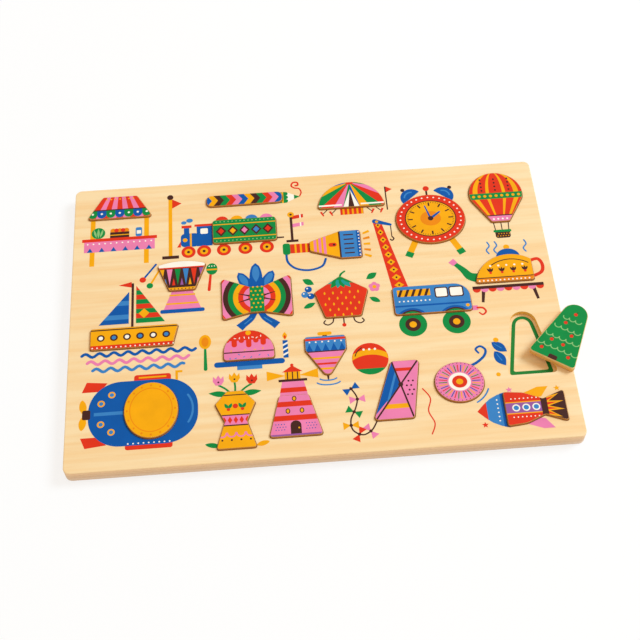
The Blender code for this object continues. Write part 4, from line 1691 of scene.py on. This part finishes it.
@dataclass
class Submarine(Motif):
    """Submarine whose large round window is the loose piece."""

    guide: Ink = YELLOW
    hull: Box = (-54, -32, 40, 30.6)
    tower: Box = (-15, 28, 17, 36)
    keel: Box = (-22, -36, 18, -28)
    small_windows: Path = ((-43, 10), (-34, 18), (-43, -10), (-34, -18))
    rudder: Path = ((-44, 22), (-38, 30), (-56, 32), (-60, 22))

    def on_board(self) -> None:
        """Draw the hull, its tower, screw, rudders, keel and small windows."""
        self.lay(
            YELLOW, leaf(-57.6, 0, 15, 6.4, 97, 0.6), leaf(-57.6, 0, 15, 6.4, 263, 0.6),
            RED, both(self.rudder, 1), rounded(*self.keel, 2), rounded(*self.tower, 2.4),
            YELLOW, box(-11, 32.4, 13, 34), strip([(22, 28), (22, 37), (27, 37)], 2.2),
            BLUE, rounded(*self.hull, 28), SKY, box(-49, -1.6, -24, 1.6),
            stroke(arc(12, 0, 23.6, -34, 34), 1.8), BROWN, rounded(-59, -4.6, -52, 4.6, 1.4),
            DotGrid(CREAM, -2, -30.2, 9, 4.4, 0.7))
        self.discs(self.small_windows, (YELLOW, 3.2), (SKY, 1.9))

    def on_piece(self) -> None:
        """Draw the plain window with its rim and rivets."""
        self.discs([(0, 0)], *[(ink, self.wide * share, self.deep * share)
                               for ink, share in ((ORANGE, 0.78), (YELLOW, 0.75))])
        self.lay(MarkRing(ORANGE, 0, 0, 16, self.wide * 0.87, 1.7,
                          squeeze=self.deep / self.wide, dots=True))


@dataclass
class TulipVase(Motif):
    """Vase with three tulips."""

    guide: Ink = YELLOW
    stems: tuple[Path, ...] = (((-1.5, 24), (-8, 31), (-14, 35)), ((0, 24), (0.4, 32), (0, 37)),
                               ((1.5, 24), (9, 31), (15, 34.6)))
    inks: Inks = (PINK, YELLOW, RED)
    # Right half of a flower's outline, from its foot up
    petals: Path = ((2.4, 0), (4.9, 4), (4.4, 9), (2.2, 6.2))

    def on_board(self) -> None:
        """Draw the tulips, their stems and leaves."""
        cup = [*self.petals, (0, 10), *mirrored(self.petals)[0][::-1]]
        for stem, ink in zip(self.stems, self.inks):
            x, y = stem[-1]
            self.lay(GREEN, strip(smooth(stem), 1.7), ink, moved(cup, (-x, -y)),
                     BROWN, oval(x, y + 3, 0.9))
        self.lay(GREEN, leaf(-4, 25, 19, 5.6, 172), leaf(4, 25, 19, 5.6, 6),
                 leaf(-13, -24, 14, 4.6, 168, 0.7), YELLOW, leaf(16, -25, 12, 4.6, 14, 0.6))

    def on_piece(self) -> None:
        """Draw the vase's bands and garland."""
        self.lay(
            BROWN, self.across(self.deep - 5, self.deep - 4), self.across(-6.4, -5.2),
            self.across(3.6, 4.6), PINK, self.across(-5.2, 3.6),
            RED, [diamond(x, -0.8, 2, 3.4) for x in row(5, 5)],
            PINK, [stroke(arc(x, -13, 3.6, 180, 360), 1.3) for x in row(4, 8)],
            BROWN, [oval(x, -19.6, 0.9) for x in row(4, 8)],
            GREEN, [leaf(x, 10, 6.4, 3, heading) for x in (-6, 6) for heading in (60, 120)],
            RED, oval(0, 12.6, 2.3), oval(-6, 9.6, 1.5), oval(6, 9.6, 1.5))


@dataclass
class Lighthouse(Motif):
    """Lighthouse whose lower half is the loose piece."""

    guide: Ink = PINK
    tower: Path = ((-12.6, 18), (12.6, 18), (9.4, 34), (-9.4, 34))
    gallery: Box = (-12.4, 34, 12.4, 36.4)
    lamp_room: Box = (-6.8, 36.4, 6.8, 43.6)
    windows: Path = ((-6, 4.2), (6, 4.2), (0, 16))

    def on_board(self) -> None:
        """Draw the tower's upper half, the lamp room and the beams."""
        self.lay(
            YELLOW, both([(6, 40), (22.4, 36), (22.4, 45.6)]), PINK, self.tower,
            RED, [(-11.7, 23.4), (11.7, 23.4), (10.7, 28), (-10.7, 28)],
            BROWN, box(*self.gallery), YELLOW, box(*self.lamp_room),
            BROWN, [box(x - 0.5, 36.4, x + 0.5, 43.6) for x in row(3, 4.4)],
            RED, triangle(0, 43.6, 9, 6.4), oval(0, 50.4, 1.5))

    def on_piece(self) -> None:
        """Draw the tower's bands, windows and door."""
        foot = 2.6 - self.deep
        self.lay(
            RED, self.across(8.4, 13.4), self.across(-5, 0),
            MAUVE, self.across(foot - 3.6, foot),
            BROWN, rounded(-4.6, foot, 4.6, foot + 12.4, 4.5),
            box(-4.6, foot, 4.6, foot + 5.4), YELLOW, oval(2.6, foot + 5.4, 0.8),
            *[DotGrid(BLUE, x, -10.8, 4, 2.4, 0.5, 3, 2.6, 1.2) for x in (-13.4, 12.6)])
        self.discs(self.windows, (BROWN, 2, 2.6), (YELLOW, 1.2, 1.8))


@dataclass
class Kite(Motif):
    """Four-panel kite with a long tail of small bows."""

    guide: Ink = BLUE
    ground: Ink = PINK
    tail: Path = ((-20, -28), (-25, -36), (-33, -40), (-41, -35), (-42, -25), (-37, -14),
                  (-35, -4), (-40, 6))
    bows: Inks = (PINK, RED, YELLOW, GREEN, PINK, BLUE)
    # Length of half a bow, and half the angle that it opens to
    bow_reach: float = 7.6
    bow_spread: float = 29.0
    line: Path = ((22, 0), (27.6, -10), (24.6, -22), (28.6, -34), (25, -44))

    def corner(self, right: float, up: float) -> Point:
        """The piece's farthest point in the direction of those two amounts."""
        return max(self.place.face, key=lambda spot: right * spot[0] + up * spot[1])

    def on_board(self) -> None:
        """Draw the tail with its bows, and the flying line."""
        path = smooth(self.tail)
        self.lay(BROWN, stroke(path, 1.3))
        step = len(path) // len(self.bows)
        for index, ink in enumerate(self.bows):
            spot = min(step * (index + 1), len(path) - 2)
            (x, y), (next_x, next_y) = path[spot], path[spot + 1]
            heading = math.degrees(math.atan2(next_y - y, next_x - x))
            self.lay(ink, [[(x, y), *[polar(x, y, self.bow_reach, heading + side + spread)
                                      for spread in (-self.bow_spread, self.bow_spread)]]
                           for side in (90, 270)], BROWN, oval(x, y, 1.5))
        self.lay(RED, curve(self.line, 1.1))

    def on_piece(self) -> None:
        """Draw the four panels, their trimmings and the two spars."""
        low_left, low_right, high_right, high_left = (
            self.corner(right, up) for right, up in box(-0.6, -1, 0.6, 1))
        cross = intersect_line_line_2d(low_left, high_right, low_right, high_left)
        self.lay(BLUE, [cross, high_left, (low_left[0] - 4, low_left[1])])
        for ink, inner_ink, trim, inner_trim, *ends in (
                (RED, PINK, 0.72, 0.58, high_right, high_left),
                (YELLOW, PINK, 0.72, 0.58, low_left, low_right),
                (SKY, BLUE, 0.62, 0.46, high_left, low_left)):
            self.lay(ink, [cross, *[cross.lerp(Vector(end), trim) for end in ends]],
                     inner_ink, [cross, *[cross.lerp(Vector(end), inner_trim) for end in ends]])
        self.lay(
            BROWN, strip([low_left, high_right], 1.5), strip([low_right, high_left], 1.5),
            oval(*cross, 2.2), DotGrid(BROWN, 10.6, 1, 2, 3.8, 0.9, 4, 4.4, 1.9))


@dataclass
class YoYo(Motif):
    """Yo-yo with coloured rays and its string."""

    guide: Ink = PINK
    string: Path = ((10, 15), (18, 19), (25, 25), (27, 31), (23, 35), (18.6, 32.4), (20.6, 28.4))
    # Turn in radians of each ink's nine rays
    rays: tuple[tuple[Ink, float], ...] = ((BLUE, 0), (RED, 0.17), (GREEN, 0.35), (YELLOW, 0.52))

    def on_board(self) -> None:
        """Draw the string with its finger loop."""
        self.lay(BLUE, curve(self.string, 2.6, 1.8),
                 SKY, stroke(arc(0, 0, 25.4, -60, -20, 0.92), 1.4))

    def on_piece(self) -> None:
        """Draw the rays between the hub and the rim."""
        wide, squeeze = self.wide, self.deep / self.wide
        self.discs([(0, 0)], *[(ink, wide * share, self.deep * share) for ink, share in
                               ((CREAM, 0.44), (RED, 0.3), (YELLOW, 0.14))])
        self.lay(*[MarkRing(ink, 0, 0, 9, wide * 0.66, 0.9, 7.4, squeeze, turn)
                   for ink, turn in self.rays],
                 MarkRing(BROWN, 0, 0, 36, wide * 0.91, 0.9, squeeze=squeeze, dots=True))


@dataclass
class Rocket(Motif):
    """Rocket flying to the left on a tail of flames, among small stars."""

    guide: Ink = RED
    # Lower half of the nose cone, from its tip back
    nose: Path = ((-49.6, 0), (-44.4, -6), (-38, -11.4), (-31, -15), (-24, -16.6))
    fin: Path = ((-12, 13.6), (0, 9.4), (6.6, 10.6), (13.6, 20), (4, 20))
    flame_from: float = 10.0
    # Spread and reach of each flame
    flames: Path = ((-11.4, 11), (-4, 14), (4, 14), (11.4, 11))
    windows: Path = ((-17, 0), (-8.4, 0), (0.2, 0))
    stars: tuple[tuple[float, float, Ink], ...] = (
        (-45, -13, RED), (21, 17.6, YELLOW), (-20, 19, PINK))

    def on_board(self) -> None:
        """Draw the nose cone, the fins and the stars."""
        self.lay(
            SKY, [*self.nose, *mirrored(self.nose, 1)[0][:0:-1]],
            BLUE, [(-24, -17), (-24, 17), (-29, 15.8), (-29, -15.8)],
            RED, [(-41.6, -8.6), (-46.6, -3.6), (-50, 0), (-46.6, 3.6), (-41.6, 8.6)],
            YELLOW, self.fin, PINK, mirrored(self.fin, 1),
            DotGrid(CREAM, -32, 0, 1, 1, 0.7, 6, 4))
        for x, y, ink in self.stars:
            self.lay(ink, [polar(x, y, reach, 90 + 36 * index)
                           for index, reach in enumerate((3, 1.35) * 5)])

    def on_piece(self) -> None:
        """Draw the body's panels, its row of windows and the flames."""
        start = self.flame_from
        self.lay(YELLOW, box(-self.wide, -5.8, 4.6, 5.8), MAUVE, box(-self.wide, -4.8, 4.6, 4.8))
        self.discs(self.windows, (CREAM, 3.4), (SKY, 2.3))
        self.lay(BROWN, self.upright(4.6, self.wide))
        for y, reach in self.flames:
            foot = y * 0.55
            self.lay(YELLOW, [(start, foot - 2.6), (start + reach, y), (start, foot + 2.6)],
                     RED, [(start, foot - 1.2), (start + reach * 0.6, y * 0.8),
                           (start, foot + 1.2)])
        self.lay(*[DotGrid(CREAM, -9.4, y, 7, 3.6, 0.6) for y in (8.8, -8.8)])


# Each motif by the name of the body that carries its piece
MOTIFS: dict[str, type[Motif]] = {
    "awning": MarketStall, "pencil": Pencil, "wagon": GoodsTrain, "tent": BigTent,
    "clock": AlarmClock, "balloon": AirBalloon, "torch": Torch, "drum": Drum, "boat": Sailboat,
    "bow": RibbonBow, "berry": Strawberry, "truck": CraneTruck, "teapot": Teapot,
    "tree": FirTree, "cake": Cake, "spinner": SpinningTop, "porthole": Submarine,
    "vase": TulipVase, "lighthouse": Lighthouse, "kite": Kite, "yo_yo": YoYo, "rocket": Rocket,
}


# The stage

@dataclass
class PhotoCamera:
    """The photographer's camera, in metres and degrees."""

    azimuth: float = -2.716
    elevation: float = 57.503
    roll: float = -1.744
    target: tuple[float, float, float] = (0.004163, -0.016339, 0.014)
    distance: float = 1.05673
    # Focal length as a multiple of the picture's width, and the sensor's width in mm
    focal_share: float = 1181.61 / 640.0
    sensor: float = 36.0

    def build(self) -> None:
        """Put the camera in the scene."""
        azimuth, elevation = math.radians(self.azimuth), math.radians(self.elevation)
        back = Vector((math.sin(azimuth) * math.cos(elevation),
                       -math.cos(azimuth) * math.cos(elevation), math.sin(elevation)))
        right = Vector((math.cos(azimuth), math.sin(azimuth), 0.0))
        basis = Matrix((right, back.cross(right), back)).transposed() @ Matrix.Rotation(
            math.radians(self.roll), 3, "Z")
        data = bpy.data.cameras.new("photo_camera")
        data.lens, data.sensor_width = self.focal_share * self.sensor, self.sensor
        place = Vector(self.target) + back * self.distance
        bpy.context.scene.camera = new_object("photo_camera", data,
                                              Matrix.Translation(place) @ basis.to_4x4())


@dataclass
class SoftStudio:
    """White sweep, a large soft lamp at the back right, and even light from all round."""

    key_place: tuple[float, float, float] = (3.9, 1.3, 4.1)
    key_size: float = 2.2
    key_power: float = 264.0
    key_colour: str = "D6ECFF"
    sky_level: float = 0.655
    sky_colour: str = "FFEACE"
    # How much of the floor's own white the camera sees in place of its lit surface: less round
    # the board, where its shadow lies, and all of it from some way out
    floor_glow: float = 0.78
    glow_start: float = 0.4
    glow_full: float = 1.2
    floor_reach: float = 6.0
    floor_drop: float = 0.0003

    @staticmethod
    def seen(add: AddNode) -> Socket:
        """Whether a ray shows its surface to the eye, straight, in a gloss or through glass.

        Args:
            add: Adds a node to the material.

        Returns:
            1 where it does.
        """
        path = add("ShaderNodeLightPath").node.outputs
        share = path["Is Camera Ray"]
        for ray in ("Is Glossy Ray", "Is Transmission Ray"):
            share = add("ShaderNodeMath", {0: share, 1: path[ray]}, operation="MAXIMUM")
        return share

    def paper(self) -> bpy.types.Material:
        """Matt white paper, which the camera sees as plain white away from the shadow.

        Returns:
            The floor's material.
        """
        material, shader, add = new_material("white_paper_sweep")
        feed(shader, {"Base Color": linear("FFFFFF"), "Roughness": 0.9})
        spot = add("ShaderNodeTexCoord", output="Object")
        away = add("ShaderNodeVectorMath", {0: spot}, operation="LENGTH")
        level = add("ShaderNodeMapRange",
                    {"Value": away, "From Min": self.glow_start, "From Max": self.glow_full,
                     "To Min": self.floor_glow})
        share = add("ShaderNodeMath", {0: self.seen(add), 1: level}, operation="MULTIPLY")
        glow = add("ShaderNodeEmission", {"Color": linear("FFFFFF")})
        mixed = add("ShaderNodeMixShader", {0: share, 1: shader.outputs[0], 2: glow})
        feed(material.node_tree.nodes["Material Output"], {"Surface": mixed})
        return material

    def build(self) -> None:
        """Put the floor, the lamp and the surrounding light in the scene."""
        reach = self.floor_reach
        mesh = bpy.data.meshes.new("floor")
        mesh.from_pydata([(x, y, -self.floor_drop) for x, y in box(-reach, -reach, reach, reach)],
                         [], [(0, 1, 2, 3)])
        mesh.materials.append(self.paper())
        new_object("floor", mesh)
        lamp = bpy.data.lights.new("soft_key", "AREA")
        lamp.energy, lamp.size = self.key_power, self.key_size
        lamp.color = linear(self.key_colour)[:3]
        place = Vector(self.key_place)
        aim = place.to_track_quat("Z", "Y").to_matrix().to_4x4()
        new_object("soft_key", lamp, Matrix.Translation(place) @ aim)
        world = bpy.context.scene.world = bpy.data.worlds.new("soft_room")
        world.use_nodes = True
        nodes, add = world.node_tree.nodes, partial(add_node, world.node_tree)
        feed(nodes["Background"], {"Strength": self.sky_level,
                                   "Color": linear(self.sky_colour)})
        shown = add("ShaderNodeBackground", {"Strength": 1.0, "Color": linear("FFFFFF")})
        mixed = add("ShaderNodeMixShader",
                    {0: self.seen(add), 1: nodes["Background"].outputs[0], 2: shown})
        feed(nodes["World Output"], {"Surface": mixed})


@dataclass
class WoodPlies:
    """The plies of each board and piece: upper height of each in mm, and its colour."""

    base: Plies = (
        (1.5, "E2BE9C"), (2.9, "FAE2C8"), (4.9, "F1D8BC"), (7.3, "ECC8A4"), (10.0, "F3D2AA"))
    sheet: Plies = ((1.6, "FBD7AD"), (2.9, "FAD2A5"), (4.0, "FFDCAC"))
    # Pieces in their windows: laser-browned sides, painted darker still towards the top as painted
    # shade of the narrow gap they stand in
    seated_shaded: Plies = ((2.0, "D89E5A"), (4.3, "CC8E4C"), (6.0, "BC803C"))
    # The lifted piece: the same wood painted lighter, its top ply lightest, as painted light where
    # the lamp falls on its sides
    lifted: Plies = ((2.0, "ECB468"), (4.3, "EEBA66"), (6.0, "F0CC8A"))
    # Reach of the windows' browned walls from the middle of the board
    scorched_reach: Span = (214.0, 144.0)
    # A loose piece's rounded edge is as brown as its sides, painted shade and painted light
    # included, almost up to the level face
    piece_rim: Span = (0.93, 0.99)

    def dress(self, places: dict[str, Place]) -> None:
        """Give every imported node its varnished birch.

        Args:
            places: The place of each motif by its body's name.
        """
        base_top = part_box("base_board")[1].z / MM
        self.finish("base_board", "birch_base_board", self.base)
        self.finish("frame_board", "birch_window_sheet", self.sheet,
                    scorched_reach=self.scorched_reach)
        for name, place in places.items():
            node = f"{name}_piece"
            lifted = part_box(node)[0].z / MM > base_top + SEATED_BELOW
            # Lit and shaded copies of the same plies: painted light on the lifted piece, painted
            # shade on the seated ones
            self.finish(node, f"birch_{name}", self.lifted if lifted else self.seated_shaded,
                        turn=place.turn, rim=self.piece_rim)

    def finish(self, node: str, name: str, plies: Plies, **more: object) -> None:
        """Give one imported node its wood.

        Args:
            node: The node's name.
            name: The material's name.
            plies: The plies of its sides.
            **more: Other fields of the finish.
        """
        low, high = (corner.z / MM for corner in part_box(node))
        mesh = frame["nodes"][node].data
        mesh.materials.clear()
        mesh.materials.append(VarnishedBirch(name, low, high - low, plies, **more).material())
        LOG.info("%s: %s", node, name)


def main() -> None:
    """Set the camera and the light, finish the wood and print every picture."""
    logging.basicConfig(level=logging.INFO, format="%(name)s: %(message)s")
    bpy.context.scene.view_settings.view_transform = "Standard"
    PhotoCamera().build()
    SoftStudio().build()
    places = find_places()
    WoodPlies().dress(places)
    board_top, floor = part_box("frame_board")[1].z / MM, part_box("base_board")[1].z / MM
    for name, motif in MOTIFS.items():
        motif(places[name]).build(board_top, floor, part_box(f"{name}_piece")[1].z / MM)


if __name__ == "__main__":
    main()
